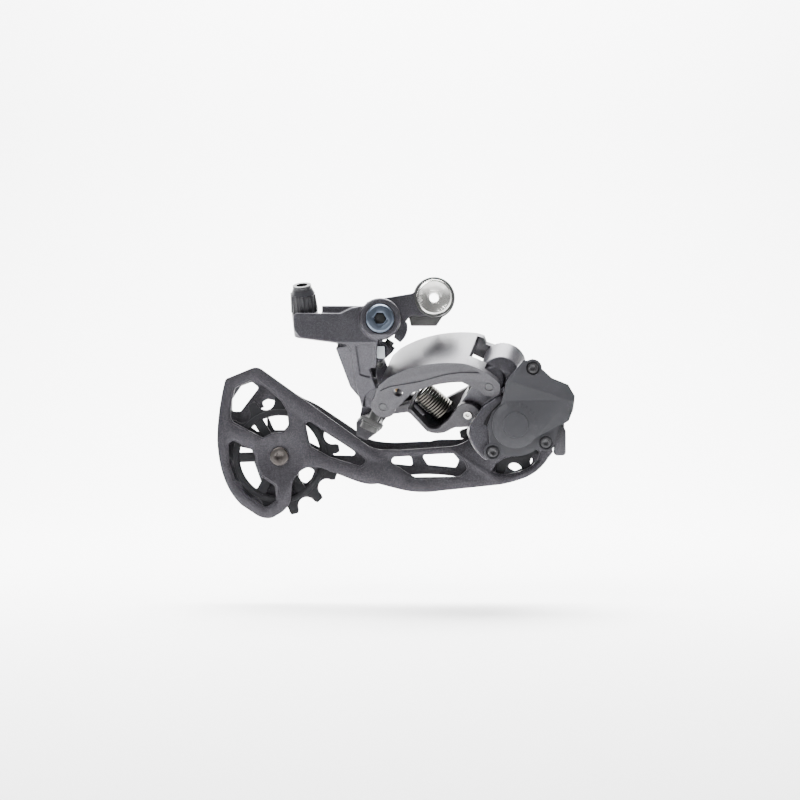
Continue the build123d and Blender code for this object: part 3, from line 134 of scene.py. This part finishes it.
class ShaderMaker:
    """Wires the nodes of one finish."""

    def __init__(self, material: bpy.types.Material, finish: Finish) -> None:
        """Keeps the material's tree and the finish that it follows."""
        self.tree = material.node_tree
        self.finish = finish
        self.principled = self.tree.nodes["Principled BSDF"]
        self.place = self.tree.nodes.new("ShaderNodeTexCoord").outputs["Object"]

    def node(self, kind: str, **sockets: object) -> bpy.types.Node:
        """Adds a node and sets its sockets.

        Args:
            kind: the node's type name.
            sockets: values by socket name, with _ for a space.

        Returns:
            The new node.
        """
        made = self.tree.nodes.new(kind)
        for name, value in sockets.items():
            made.inputs[name.replace("_", " ")].default_value = value
        return made

    def join(self, output: bpy.types.NodeSocket, target: bpy.types.NodeSocket) -> None:
        """Links two sockets."""
        self.tree.links.new(output, target)

    def stretched(self, scale: tuple[float, float, float]) -> bpy.types.NodeSocket:
        """Object coordinates stretched by scale."""
        mapping = self.node("ShaderNodeMapping", Scale=scale)
        self.join(self.place, mapping.inputs["Vector"])
        return mapping.outputs["Vector"]

    def noise(
        self, scale: float, detail: float, source: bpy.types.NodeSocket | None = None,
    ) -> bpy.types.NodeSocket:
        """Noise factor at a frequency, on object or given coordinates."""
        noise = self.node("ShaderNodeTexNoise", Scale=scale, Detail=detail, Roughness=0.55)
        self.join(source or self.place, noise.inputs["Vector"])
        return noise.outputs["Fac"]

    def ramp(self, source: bpy.types.NodeSocket, low: float, high: float) -> bpy.types.NodeSocket:
        """Maps source from low..high to 0..1, clamped."""
        remap = self.node("ShaderNodeMapRange", From_Min=low, From_Max=high)
        self.join(source, remap.inputs["Value"])
        return remap.outputs["Result"]

    def scaled(self, source: bpy.types.NodeSocket, low: float, high: float) -> bpy.types.NodeSocket:
        """Maps source from 0..1 to low..high."""
        remap = self.node("ShaderNodeMapRange", To_Min=low, To_Max=high)
        self.join(source, remap.inputs["Value"])
        return remap.outputs["Result"]

    def mixed(self, factor: bpy.types.NodeSocket, first: object, second: Colour) -> bpy.types.NodeSocket:
        """Colour mix of first, a colour or a socket, with second."""
        mix = self.tree.nodes.new("ShaderNodeMix")
        mix.data_type = "RGBA"
        self.join(factor, mix.inputs["Factor"])
        if isinstance(first, tuple):
            mix.inputs["A"].default_value = (*first, 1.0)
        else:
            self.join(first, mix.inputs["A"])
        mix.inputs["B"].default_value = (*second, 1.0)
        return mix.outputs["Result"]

    def pattern(self) -> bpy.types.NodeSocket:
        """Small-scale pattern of the surface, as a 0..1 factor."""
        scale = self.finish.scale
        if self.finish.surface is Surface.FLAKE:
            cells = self.node("ShaderNodeTexVoronoi", Scale=scale, Randomness=1.0)
            self.join(self.place, cells.inputs["Vector"])
            split = self.tree.nodes.new("ShaderNodeSeparateColor")
            self.join(cells.outputs["Color"], split.inputs["Color"])
            return self.ramp(split.outputs["Red"], 0.35, 1.0)
        if self.finish.surface is Surface.BRUSHED:
            return self.noise(scale, 3.0, self.stretched((0.06, 1.0, 1.0)))
        if self.finish.surface is Surface.TURNED:
            reach = self.tree.nodes.new("ShaderNodeVectorMath")
            reach.operation = "LENGTH"
            self.join(self.stretched((1.0, 0.0, 1.0)), reach.inputs[0])
            rings = self.node("ShaderNodeCombineXYZ")
            self.join(reach.outputs["Value"], rings.inputs["X"])
            return self.noise(scale, 2.0, rings.outputs["Vector"])
        if self.finish.surface is Surface.GRAIN:
            return self.noise(scale, 4.0)
        return self.noise(scale * 0.3, 2.0)

    def build(self) -> None:
        """Makes the whole material."""
        finish = self.finish
        pattern = self.pattern()
        broad = self.noise(55.0, 4.0)
        self.principled.inputs["Metallic"].default_value = finish.metallic
        self.principled.inputs["Specular IOR Level"].default_value = finish.shine
        self.principled.inputs["Coat Weight"].default_value = finish.coat
        self.principled.inputs["Coat Roughness"].default_value = 0.22
        tint = self.scaled(pattern, 0.0, finish.amount)
        colour = self.mixed(tint, finish.colour, finish.second)
        haze = self.scaled(self.ramp(broad, 0.42, 0.75), 0.0, finish.dust)
        pale = tuple(min(1.0, c * 1.5 + 0.015) for c in finish.colour)
        self.join(self.mixed(haze, colour, pale), self.principled.inputs["Base Color"])
        low, high = finish.roughness - finish.spread, finish.roughness + finish.spread
        self.join(self.scaled(self.ramp(broad, 0.3, 0.7), low, high), self.principled.inputs["Roughness"])
        bump = self.node("ShaderNodeBump", Strength=0.5, Distance=finish.bump)
        self.join(pattern, bump.inputs["Height"])
        self.join(bump.outputs["Normal"], self.principled.inputs["Normal"])


KNUCKLE_PAINT = Finish(
    "knuckle_paint", (0.025, 0.024, 0.029), (0.12, 0.116, 0.134), Surface.FLAKE,
    metallic=0.62, roughness=0.40, amount=0.28, coat=0.05,
)
LINK_PAINT = Finish(
    "link_paint", (0.026, 0.025, 0.029), (0.10, 0.097, 0.11), Surface.FLAKE,
    metallic=0.55, roughness=0.38, amount=0.24, coat=0.08,
)
DARK_PAINT = Finish(
    "dark_paint", (0.017, 0.016, 0.019), (0.07, 0.067, 0.077), Surface.FLAKE,
    metallic=0.5, roughness=0.44, amount=0.28, coat=0.05,
)
CAGE_PAINT = Finish(
    "cage_paint", (0.018, 0.0168, 0.0205), (0.095, 0.089, 0.105), Surface.FLAKE,
    metallic=0.6, roughness=0.42, scale=3600.0, amount=0.30,
)
BLACK_STEEL = Finish(
    "black_steel", (0.009, 0.009, 0.011), (0.03, 0.03, 0.033), Surface.TURNED, metallic=0.4, roughness=0.40,
)
SCREW_STEEL = Finish(
    "screw_steel", (0.055, 0.055, 0.058), (0.03, 0.03, 0.032), Surface.TURNED, metallic=0.9, roughness=0.36,
)
BRIGHT_NICKEL = Finish(
    "bright_nickel", (0.60, 0.595, 0.575), (0.42, 0.42, 0.40), Surface.TURNED,
    metallic=1.0, roughness=0.24, spread=0.03, amount=0.5, bump=0.000004, dust=0.02,
)
BLUE_ZINC = Finish(
    "blue_zinc", (0.062, 0.078, 0.105), (0.13, 0.15, 0.185), Surface.TURNED,
    metallic=0.9, roughness=0.34, amount=0.35, bump=0.000006,
)
PIN_STEEL = Finish(
    "pin_steel", (0.30, 0.30, 0.31), (0.18, 0.18, 0.19), Surface.BRUSHED,
    metallic=1.0, roughness=0.34, amount=0.4,
)
SPRING_WIRE = Finish(
    "spring_wire", (0.055, 0.052, 0.046), (0.15, 0.142, 0.125), Surface.BRUSHED,
    metallic=1.0, roughness=0.34, scale=5200.0, amount=0.5,
)
DARK_PLATE = Finish(
    "dark_plate", (0.045, 0.040, 0.038), (0.10, 0.09, 0.082), Surface.TURNED,
    metallic=0.85, roughness=0.36, amount=0.4,
)
BRONZE = Finish(
    "bronze", (0.36, 0.24, 0.11), (0.22, 0.14, 0.07), Surface.GRAIN, metallic=0.9, roughness=0.45, amount=0.5,
)
ADJUSTER_PLASTIC = Finish(
    "adjuster_plastic", (0.010, 0.010, 0.012), (0.03, 0.03, 0.034), Surface.GRAIN,
    metallic=0.0, roughness=0.40, amount=0.4, shine=0.2,
)
INSERT_PLASTIC = Finish(
    "insert_plastic", (0.44, 0.47, 0.50), (0.36, 0.38, 0.41), Surface.SMOOTH,
    metallic=0.0, roughness=0.4, scale=900.0, amount=0.4,
)
COVER_PLASTIC = Finish(
    "cover_plastic", (0.020, 0.020, 0.023), (0.044, 0.044, 0.049), Surface.GRAIN,
    metallic=0.0, roughness=0.50, scale=5200.0, amount=0.5, bump=0.00003, dust=0.10, shine=0.16,
)
GASKET_RUBBER = Finish(
    "gasket_rubber", (0.006, 0.006, 0.007), (0.018, 0.018, 0.019), Surface.GRAIN,
    metallic=0.0, roughness=0.7, shine=0.15,
)
PULLEY_RESIN = Finish(
    "pulley_resin", (0.006, 0.006, 0.007), (0.018, 0.018, 0.021), Surface.GRAIN,
    metallic=0.0, roughness=0.46, amount=0.5, dust=0.08, shine=0.12,
)
SWEEP_PAPER = Finish(
    "paper", (0.93, 0.93, 0.93), (0.90, 0.90, 0.90), Surface.GRAIN,
    metallic=0.0, roughness=0.9, scale=300.0, bump=0.00001, dust=0.0,
)


# --------------------------------------------------------------------------- meshes
def link_object(name: str, mesh: bpy.types.Mesh) -> bpy.types.Object:
    """Puts a mesh in the scene as an object at the origin."""
    made = bpy.data.objects.new(name, mesh)
    bpy.context.scene.collection.objects.link(made)
    return made


def baked(source: bpy.types.Object, name: str) -> bpy.types.Object:
    """Replaces a live object by the plain mesh that its modifiers give.

    Args:
        source: object with modifiers; it is removed.
        name: name of the result.

    Returns:
        A new object at the origin.
    """
    graph = bpy.context.evaluated_depsgraph_get()
    mesh = bpy.data.meshes.new_from_object(source.evaluated_get(graph))
    bpy.data.objects.remove(source)
    mesh.name = name
    return link_object(name, mesh)


def crease(mesh: bpy.types.Mesh, angle: float) -> None:
    """Shades a mesh smooth, with edges sharper than angle degrees left sharp."""
    work = bmesh.new()
    work.from_mesh(mesh)
    for face in work.faces:
        face.smooth = True
    for edge in work.edges:
        edge.smooth = edge.calc_face_angle(0.0) < radians(angle)
    work.to_mesh(mesh)
    work.free()


def softened(node: str, name: str, width: float, segments: int = 3, angle: float = 32.0) -> bpy.types.Object:
    """Copy of a CAD node whose machined edges are broken by a small radius.

    Args:
        node: the CAD node.
        name: name of the new piece.
        width: radius of the broken edges, in metres.
        segments: faces across each radius.
        angle: edges sharper than this, in degrees, are broken.

    Returns:
        The new piece, which stands for the node.
    """
    mesh = frame["nodes"][node].data.copy()
    work = bmesh.new()
    work.from_mesh(mesh)
    bmesh.ops.remove_doubles(work, verts=work.verts, dist=MERGE_GAP)
    bmesh.ops.dissolve_limit(
        work, angle_limit=radians(FLAT_ANGLE), use_dissolve_boundaries=False,
        verts=work.verts, edges=work.edges,
    )
    work.to_mesh(mesh)
    work.free()
    mesh.materials.clear()
    piece = link_object(name + "_live", mesh)
    bevel = piece.modifiers.new("broken_edges", "BEVEL")
    bevel.width = width
    bevel.segments = segments
    bevel.limit_method = "ANGLE"
    bevel.angle_limit = radians(angle)
    bevel.use_clamp_overlap = True
    bevel.miter_outer = "MITER_ARC"
    piece = baked(piece, name)
    crease(piece.data, CREASE_ANGLE)
    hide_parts(node)
    return piece


def dressed(piece: bpy.types.Object, finish: Finish, body: str) -> bpy.types.Object:
    """Gives a piece its finish and the body that it rides on."""
    piece.data.materials.clear()
    piece.data.materials.append(finish.material())
    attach(piece, body)
    LOG.info("%s rides on %s", piece.name, body)
    return piece


def machined(node: str, name: str, width: float, finish: Finish, body: str) -> None:
    """Softens a machined node by width, in mm, and dresses the result."""
    dressed(softened(node, name, width * MM), finish, body)


def refinished(node: str, finish: Finish) -> None:
    """Gives a CAD node that keeps its shape a better material."""
    target = frame["nodes"][node]
    for material_slot in target.material_slots:
        material_slot.material = finish.material()
    LOG.info("%s keeps its CAD shape", node)


# --------------------------------------------------------------------------- geometry node trees
class TreeMaker:
    """Builds one geometry node tree with named inputs."""

    def __init__(self, name: str) -> None:
        """Starts an empty tree with a geometry output."""
        self.tree = bpy.data.node_groups.new(name, "GeometryNodeTree")
        self.tree.interface.new_socket("Geometry", in_out="INPUT", socket_type="NodeSocketGeometry")
        self.tree.interface.new_socket("Geometry", in_out="OUTPUT", socket_type="NodeSocketGeometry")
        self.entry = self.tree.nodes.new("NodeGroupInput")
        self.exit = self.tree.nodes.new("NodeGroupOutput")

    def size(self, name: str, value: float, whole: bool = False) -> bpy.types.NodeSocket:
        """Adds a named input.

        Args:
            name: the input's name.
            value: its default.
            whole: True for a count.

        Returns:
            The input's socket inside the tree.
        """
        kind = "NodeSocketInt" if whole else "NodeSocketFloat"
        self.tree.interface.new_socket(name, in_out="INPUT", socket_type=kind).default_value = value
        return self.entry.outputs[name]

    def node(self, kind: str, **sockets: object) -> bpy.types.Node:
        """Adds a node; each named socket gets a value or a link."""
        made = self.tree.nodes.new(kind)
        for name, value in sockets.items():
            socket = made.inputs[name.replace("_", " ")]
            if isinstance(value, bpy.types.NodeSocket):
                self.tree.links.new(value, socket)
            else:
                socket.default_value = value
        return made

    def sum(self, operation: str, first: object, second: object = 0.0) -> bpy.types.NodeSocket:
        """Result of a math node on two values or sockets."""
        made = self.tree.nodes.new("ShaderNodeMath")
        made.operation = operation
        for socket, value in zip(made.inputs, (first, second)):
            if isinstance(value, bpy.types.NodeSocket):
                self.tree.links.new(value, socket)
            else:
                socket.default_value = value
        return made.outputs[0]

    def close(self, geometry: bpy.types.NodeSocket, finish: Finish) -> bpy.types.GeometryNodeTree:
        """Ends the tree in Realize Instances and Set Material."""
        realized = self.node("GeometryNodeRealizeInstances", Geometry=geometry)
        finished = self.node(
            "GeometryNodeSetMaterial", Geometry=realized.outputs[0], Material=finish.material(),
        )
        self.tree.links.new(finished.outputs[0], self.exit.inputs[0])
        return self.tree


def grown(name: str, tree: bpy.types.GeometryNodeTree, seed: bpy.types.Mesh | None = None,
          place: Matrix | None = None, **sizes: float) -> bpy.types.Object:
    """Evaluates a node tree to a plain mesh.

    Args:
        name: name of the result.
        tree: the node tree.
        seed: mesh that the tree starts from, if it needs one.
        place: where the result goes.
        sizes: values of the tree's named inputs, with _ for a space.

    Returns:
        A plain mesh object at the origin.
    """
    live = link_object(name + "_live", seed or bpy.data.meshes.new(name + "_seed"))
    modifier = live.modifiers.new("grow", "NODES")
    modifier.node_group = tree
    keys = {item.name: item.identifier for item in tree.interface.items_tree if item.in_out == "INPUT"}
    for size, value in sizes.items():
        modifier[keys[size.replace("_", " ")]] = value
    piece = baked(live, name)
    if place:
        piece.data.transform(place)
    return piece


def helix_wire_tree(finish: Finish) -> bpy.types.GeometryNodeTree:
    """Wire wound in a helix, used for springs and for screw threads."""
    maker = TreeMaker("helix_wire")
    turns, radius, pitch, wire, steps = (
        maker.size("turns", 8.0), maker.size("radius", 0.005), maker.size("pitch", 0.0013),
        maker.size("wire", 0.0006), maker.size("steps", 40, True),
    )
    spiral = maker.node(
        "GeometryNodeCurveSpiral", Resolution=steps, Rotations=turns, Start_Radius=radius, End_Radius=radius,
        Height=maker.sum("MULTIPLY", turns, pitch),
    )
    ring = maker.node("GeometryNodeCurvePrimitiveCircle", Resolution=WIRE_SIDES, Radius=wire)
    swept = maker.node(
        "GeometryNodeCurveToMesh", Curve=spiral.outputs[0], Profile_Curve=ring.outputs[0], Fill_Caps=True,
    )
    smooth = maker.node("GeometryNodeSetShadeSmooth", Geometry=swept.outputs[0])
    return maker.close(smooth.outputs[0], finish)


def thread(name: str, node: str, finish: Finish, place: Matrix, body: str, slot: str, **sizes: float) -> None:
    """Screw thread wound round a shank, as a piece beside the screw's own.

    Args:
        name: name of the piece.
        node: CAD node of the screw, for the log.
        finish: the screw's finish.
        place: start of the thread, with its z axis along the screw.
        body: body that the screw rides on.
        slot: the record's material slot; not used.
        sizes: turns, radius, pitch, wire and steps of the helix.
    """
    wound = grown(name, helix_wire_tree(finish), place=place, **sizes)
    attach(wound, body)
    LOG.info("%s is the thread of %s", name, node)


# --------------------------------------------------------------------------- lathe work
def lathe(
    name: str, profile: tuple[tuple[float, float], ...], place: Matrix, steps: int = 96,
) -> bpy.types.Object:
    """Turned piece: a closed profile of (radius, height) in mm spun about the z axis.

    Args:
        name: name of the piece.
        profile: points of the closed profile.
        place: where the lathe axis goes.
        steps: faces round the piece.

    Returns:
        The piece, creased where the profile turns sharply.
    """
    work = bmesh.new()
    rings = []
    for step in range(steps):
        turn = 2 * pi * step / steps
        rings.append([work.verts.new((r * MM * cos(turn), r * MM * sin(turn), h * MM)) for r, h in profile])
    for step, ring in enumerate(rings):
        after = rings[(step + 1) % steps]
        for spot in range(len(profile)):
            following = (spot + 1) % len(profile)
            work.faces.new((ring[spot], after[spot], after[following], ring[following]))
    bmesh.ops.remove_doubles(work, verts=work.verts, dist=0.0005 * MM)
    bmesh.ops.recalc_face_normals(work, faces=work.faces)
    mesh = bpy.data.meshes.new(name)
    work.to_mesh(mesh)
    work.free()
    mesh.transform(place)
    crease(mesh, LATHE_CREASE_ANGLE)
    return link_object(name, mesh)


def outboard(x: float, y: float, z: float) -> Matrix:
    """Place of a lathe whose axis points outboard, from a point in mm."""
    return Matrix.Translation(Vector((x, y, z)) * MM) @ Matrix.Rotation(pi / 2, 4, "X")


def axis_place(origin: Vector, z_axis: Vector, x_axis: Vector) -> Matrix:
    """Place with a given origin in metres, z axis and rough x axis."""
    z_unit = z_axis.normalized()
    x_unit = (x_axis - z_unit * x_axis.dot(z_unit)).normalized()
    turn = Matrix((x_unit, z_unit.cross(x_unit), z_unit)).transposed().to_4x4()
    return Matrix.Translation(origin) @ turn


def centre_of(node: str) -> Vector:
    """Middle of a node's box, in metres."""
    low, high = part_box(node)
    return (Vector(low) + Vector(high)) / 2


def cast(node: str, name: str, voxel: float = 0.36, passes: int = 5, keep: float = 0.5) -> bpy.types.Object:
    """Copy of a CAD node with the soft corners of a casting.

    Args:
        node: the CAD node.
        name: name of the new piece.
        voxel: grid size of the remesh, in mm.
        passes: smoothing passes.
        keep: share of the faces kept after smoothing.

    Returns:
        The new piece, which stands for the node.
    """
    mesh = frame["nodes"][node].data.copy()
    work = bmesh.new()
    work.from_mesh(mesh)
    bmesh.ops.remove_doubles(work, verts=work.verts, dist=MERGE_GAP)
    work.to_mesh(mesh)
    work.free()
    mesh.materials.clear()
    piece = link_object(name + "_live", mesh)
    remesh = piece.modifiers.new("cast_skin", "REMESH")
    remesh.mode = "VOXEL"
    remesh.voxel_size = voxel * MM
    smooth = piece.modifiers.new("soft_corners", "SMOOTH")
    smooth.factor = 0.5
    smooth.iterations = passes
    thin = piece.modifiers.new("thin_out", "DECIMATE")
    thin.ratio = keep
    piece = baked(piece, name)
    crease(piece.data, CAST_CREASE_ANGLE)
    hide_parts(node)
    return piece


# --------------------------------------------------------------------------- sub-assemblies
@dataclass
class HangerEnd:
    """Bracket, stop plate and the two bolts at the frame end.

    Args:
        body: CAD body that the pieces ride on.
        edge: radius of the machined edges, in mm.
        socket: bottom of the B-axle bolt's hex socket, in mm.
        socket_shade_disc: profile of the black disc on that bottom, in mm; the disc is painted shade that
            darkens the deep hex socket where the bolt's own metal would show.
        thread_turns: turns of the mounting bolt's thread.
        thread_radius: radius of the thread's helix, in mm.
        thread_pitch: its pitch, in mm.
        thread_wire: radius of its ridge, in mm.
    """

    body: str = "hanger_bracket"
    edge: float = 0.35
    socket: tuple[float, float, float] = (-24.6, -19.05, -10.3)
    socket_shade_disc: tuple[tuple[float, float], ...] = ((0.0, 0.0), (2.4, 0.0), (2.3, 0.9), (0.0, 1.2))
    thread_turns: float = 7.0
    thread_radius: float = 4.85
    thread_pitch: float = 1.0
    thread_wire: float = 0.34

    def build(self) -> None:
        """Builds and dresses every piece."""
        dressed(cast("bracket_link", "bracket_skin", voxel=0.3), KNUCKLE_PAINT, self.body)
        machined("stop_plate", "stop_plate_skin", self.edge, BLACK_STEEL, self.body)
        machined("bolt_retaining_ring", "retaining_ring_skin", 0.15, BLACK_STEEL, self.body)
        machined("b_axle_bolt", "b_axle_bolt_skin", 0.3, BLUE_ZINC, self.body)
        # The black disc on the socket's bottom is painted shade for the deep hex socket, not a part of the
        # bolt.
        socket = lathe("b_axle_socket_shade_disc", self.socket_shade_disc, outboard(*self.socket), steps=48)
        dressed(socket, BLACK_STEEL, self.body)
        machined("mounting_bolt", "mounting_bolt_skin", 0.3, BRIGHT_NICKEL, self.body)
        inboard = Matrix.Rotation(-pi / 2, 4, "X")
        thread(
            "mounting_thread", "mounting_bolt", BRIGHT_NICKEL, inboard, self.body, "nickel",
            turns=self.thread_turns, radius=self.thread_radius * MM, pitch=self.thread_pitch * MM,
            wire=self.thread_wire * MM, steps=40,
        )


@dataclass
class UpperKnuckle:
    """Knuckle on the bracket, with the link pivots, the adjuster and the B-tension screw.

    Args:
        body: CAD body of the knuckle.
        edge: radius of the insert's edges, in mm.
    """

    body: str = "b_knuckle"
    edge: float = 0.3

    def build(self) -> None:
        """Builds and dresses every piece."""
        dressed(cast("b_knuckle_body", "upper_knuckle_skin"), KNUCKLE_PAINT, self.body)
        machined("knuckle_insert", "insert_skin", self.edge, INSERT_PLASTIC, self.body)
        refinished("b_axle_bushing", BRONZE)
        refinished("a_pivot_bushing", BRONZE)
        machined("barrel_adjuster", "adjuster_skin", 0.2, ADJUSTER_PLASTIC, "adjuster")
        machined("b_tension_screw", "b_screw_skin", 0.2, BLACK_STEEL, "b_screw")


@dataclass
class Linkage:
    """Outer and inner links, their pins, the return spring and the cable clamp.

    Args:
        outer: CAD body of the outer link.
        inner: CAD body of the inner link.
        edge: radius of the outer link's edges, in mm.
        spring_turns: turns of the return spring.
        spring_radius: radius of its coil, in mm.
        spring_pitch: distance between its turns, in mm.
        spring_wire: radius of its wire, in mm.
    """

    outer: str = "outer_link"
    inner: str = "inner_link"
    edge: float = 0.4
    spring_turns: float = 10.5
    spring_radius: float = 5.0
    spring_pitch: float = 1.32
    spring_wire: float = 0.62

    def build(self) -> None:
        """Builds and dresses every piece."""
        machined("outer_link_body", "outer_link_skin", self.edge, LINK_PAINT, self.outer)
        for pin in ("pin_a", "pin_b"):
            machined(pin, pin + "_skin", 0.2, SCREW_STEEL, self.outer)
        cheeks = cast("inner_link_body", "inner_link_skin", voxel=0.3)
        dressed(cheeks, DARK_PAINT, self.inner)
        for pin in ("pin_c", "pin_d"):
            machined(pin, pin + "_skin", 0.25, BRIGHT_NICKEL, self.inner)
        self.clamp()
        self.spring()

    def clamp(self) -> None:
        """Cable clamp: grooved plate, washer and bolt."""
        machined("cable_clamp_plate", "clamp_plate_skin", 0.25, BLACK_STEEL, self.inner)
        for node in ("cable_clamp_washer", "cable_clamp_bolt"):
            machined(node, node + "_skin", 0.2, BLACK_STEEL, self.inner)

    def spring(self) -> None:
        """Return spring as a wound wire in the space of its sleeve."""
        centre = centre_of("return_spring")
        axis = link_direction(0.5, -0.86, 0.0)
        height = self.spring_turns * self.spring_pitch
        start = Matrix.Translation((0, 0, -height * MM / 2))
        place = axis_place(centre, axis, link_direction(0.0, 0.0, 1.0)) @ start
        coil = grown(
            "return_coil", helix_wire_tree(SPRING_WIRE), place=place, turns=self.spring_turns,
            radius=self.spring_radius * MM, pitch=self.spring_pitch * MM,
            wire=self.spring_wire * MM, steps=48,
        )
        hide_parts("return_spring")
        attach(coil, self.inner)


@dataclass
class LowerKnuckle:
    """Lower knuckle with its friction housing, cover and switch lever."""

    body: str = "p_knuckle"

    def build(self) -> None:
        """Builds and dresses every piece."""
        housing = cast("p_knuckle_body", "lower_knuckle_skin", voxel=0.4, keep=0.4)
        dressed(housing, KNUCKLE_PAINT, self.body)
        machined("stabilizer_cover", "cover_skin", 0.4, COVER_PLASTIC, self.body)
        machined("cover_bolts", "cover_bolts_skin", 0.2, SCREW_STEEL, self.body)
        machined("limit_screws", "limit_screws_skin", 0.2, BLACK_STEEL, self.body)
        machined("switch_lever", "lever_skin", 0.5, LINK_PAINT, "lever")
        refinished("cover_gasket", GASKET_RUBBER)
        refinished("roller_clutch", PIN_STEEL)
        refinished("friction_band", PIN_STEEL)
        refinished("p_axle_bushing", BRONZE)
        refinished("cage_spring", SPRING_WIRE)


@dataclass
class Cage:
    """Cage plates, pulleys and their bolts.

    Args:
        body: CAD body of the cage.
        edge: radius of the inner plate's edges, in mm.
        outer_edge: radius of the outer plate's edges, in mm.
    """

    body: str = "cage"
    edge: float = 0.35
    outer_edge: float = 0.8

    def build(self) -> None:
        """Builds and dresses every piece."""
        for node, edge in (("outer_cage_plate", self.outer_edge), ("inner_cage_plate", self.edge)):
            machined(node, node + "_skin", edge, CAGE_PAINT, self.body)
        machined("tension_bolt", "tension_bolt_skin", 0.25, DARK_PLATE, self.body)
        machined("guide_bolt", "guide_bolt_skin", 0.25, DARK_PLATE, self.body)
        machined("guide_pulley", "guide_pulley_skin", 0.25, PULLEY_RESIN, "guide_wheel")
        machined(
            "tension_pulley", "tension_pulley_skin", 0.25, PULLEY_RESIN, "tension_wheel",
        )
        for node in ("p_axle", "clutch_sleeve", "guide_bushing", "tension_bushing", "cage_stop_pin"):
            refinished(node, PIN_STEEL)


def link_direction(along: float, across: float, out: float) -> Vector:
    """Direction in the linkage's own axes, turned into the shared frame."""
    hinge = next(joint for joint in frame["joints"] if joint["name"] == "link_swing")
    outward = -Vector(hinge["axis"]).normalized()
    reach = Vector((0.908, -0.382, 0.172))
    first = (reach - outward * reach.dot(outward)).normalized()
    return (first * along + outward.cross(first) * across + outward * out).normalized()


# --------------------------------------------------------------------------- studio
@dataclass
class Studio:
    """Floor, lights and camera.

    Args:
        eye: camera position in mm; it looks along +Y.
        lens: focal length in mm for a 36 mm sensor.
        drop: gap between the part's lowest point and the floor, in mm.
        room_light: strength of the even light all round.
    """

    eye: tuple[float, float, float] = (-15.62, -900.0, -46.9)
    lens: float = 88.04
    drop: float = 40.0
    room_light: float = 0.26

    def build(self) -> None:
        """Sets up the whole studio."""
        self.camera()
        self.backdrop()
        self.light("key", (-360, -520, 520), 300, 9.0)
        self.light("fill", (520, -480, 60), 380, 0.9)
        self.light("top", (20, -40, 620), 460, 7.0)
        self.light("rim", (-520, 160, 120), 260, 2.0)
        self.light("wash", (0, 420, 900), 900, 95.0, aim=(0, 900, 0))
        world = bpy.data.worlds.new("soft_room")
        bpy.context.scene.world = world
        world.use_nodes = True
        room = world.node_tree.nodes["Background"]
        room.inputs["Color"].default_value = (1.0, 1.0, 1.0, 1.0)
        room.inputs["Strength"].default_value = self.room_light

    def camera(self) -> None:
        """Places the camera square on, at the outboard side."""
        data = bpy.data.cameras.new("view")
        data.lens, data.sensor_width = self.lens, 36.0
        data.clip_start, data.clip_end = 0.01, 20.0
        camera = bpy.data.objects.new("view", data)
        camera.location = Vector(self.eye) * MM
        camera.rotation_euler = (pi / 2, 0.0, 0.0)
        bpy.context.scene.collection.objects.link(camera)
        bpy.context.scene.camera = camera

    def light(self, name: str, place: tuple[float, float, float], size: float, power: float,
              aim: tuple[float, float, float] = (-20, 0, -50)) -> None:
        """Soft square lamp.

        Args:
            name: lamp name.
            place: position in mm.
            size: side of the lamp in mm.
            power: watts.
            aim: point in mm that it faces.
        """
        data = bpy.data.lights.new(name, "AREA")
        data.size, data.energy = size * MM, power
        lamp = bpy.data.objects.new(name, data)
        lamp.location = Vector(place) * MM
        lamp.rotation_euler = (Vector(aim) * MM - lamp.location).to_track_quat("-Z", "Y").to_euler()
        bpy.context.scene.collection.objects.link(lamp)

    def backdrop(self) -> None:
        """Pale floor that sweeps up into a pale wall behind the part."""
        low = CAD_BOX[0][2] - self.drop * MM
        bend, reach, wide = 0.35, 2.2, 3.0
        back = 0.55
        outline = [(-reach, low), (back, low)]
        for step in range(1, 13):
            lift = step * pi / 24
            outline.append((back + bend * sin(lift), low + bend * (1 - cos(lift))))
        outline.append((back + bend, low + 2.4))
        work = bmesh.new()
        rows = [[work.verts.new((side * wide, y, z)) for side in (-1, 1)] for y, z in outline]
        for near, far in zip(rows, rows[1:]):
            work.faces.new((near[0], near[1], far[1], far[0]))
        mesh = bpy.data.meshes.new("sweep")
        work.to_mesh(mesh)
        work.free()
        crease(mesh, CAST_CREASE_ANGLE)
        sweep = link_object("sweep", mesh)
        mesh.materials.append(SWEEP_PAPER.material())


def main() -> None:
    """Builds every sub-assembly in order."""
    logging.basicConfig(level=logging.INFO, format="%(name)s: %(message)s")
    for assembly in (HangerEnd(), UpperKnuckle(), Linkage(), LowerKnuckle(), Cage(), Studio()):
        LOG.info("building %s", type(assembly).__name__)
        assembly.build()


if __name__ == "__main__":
    main()
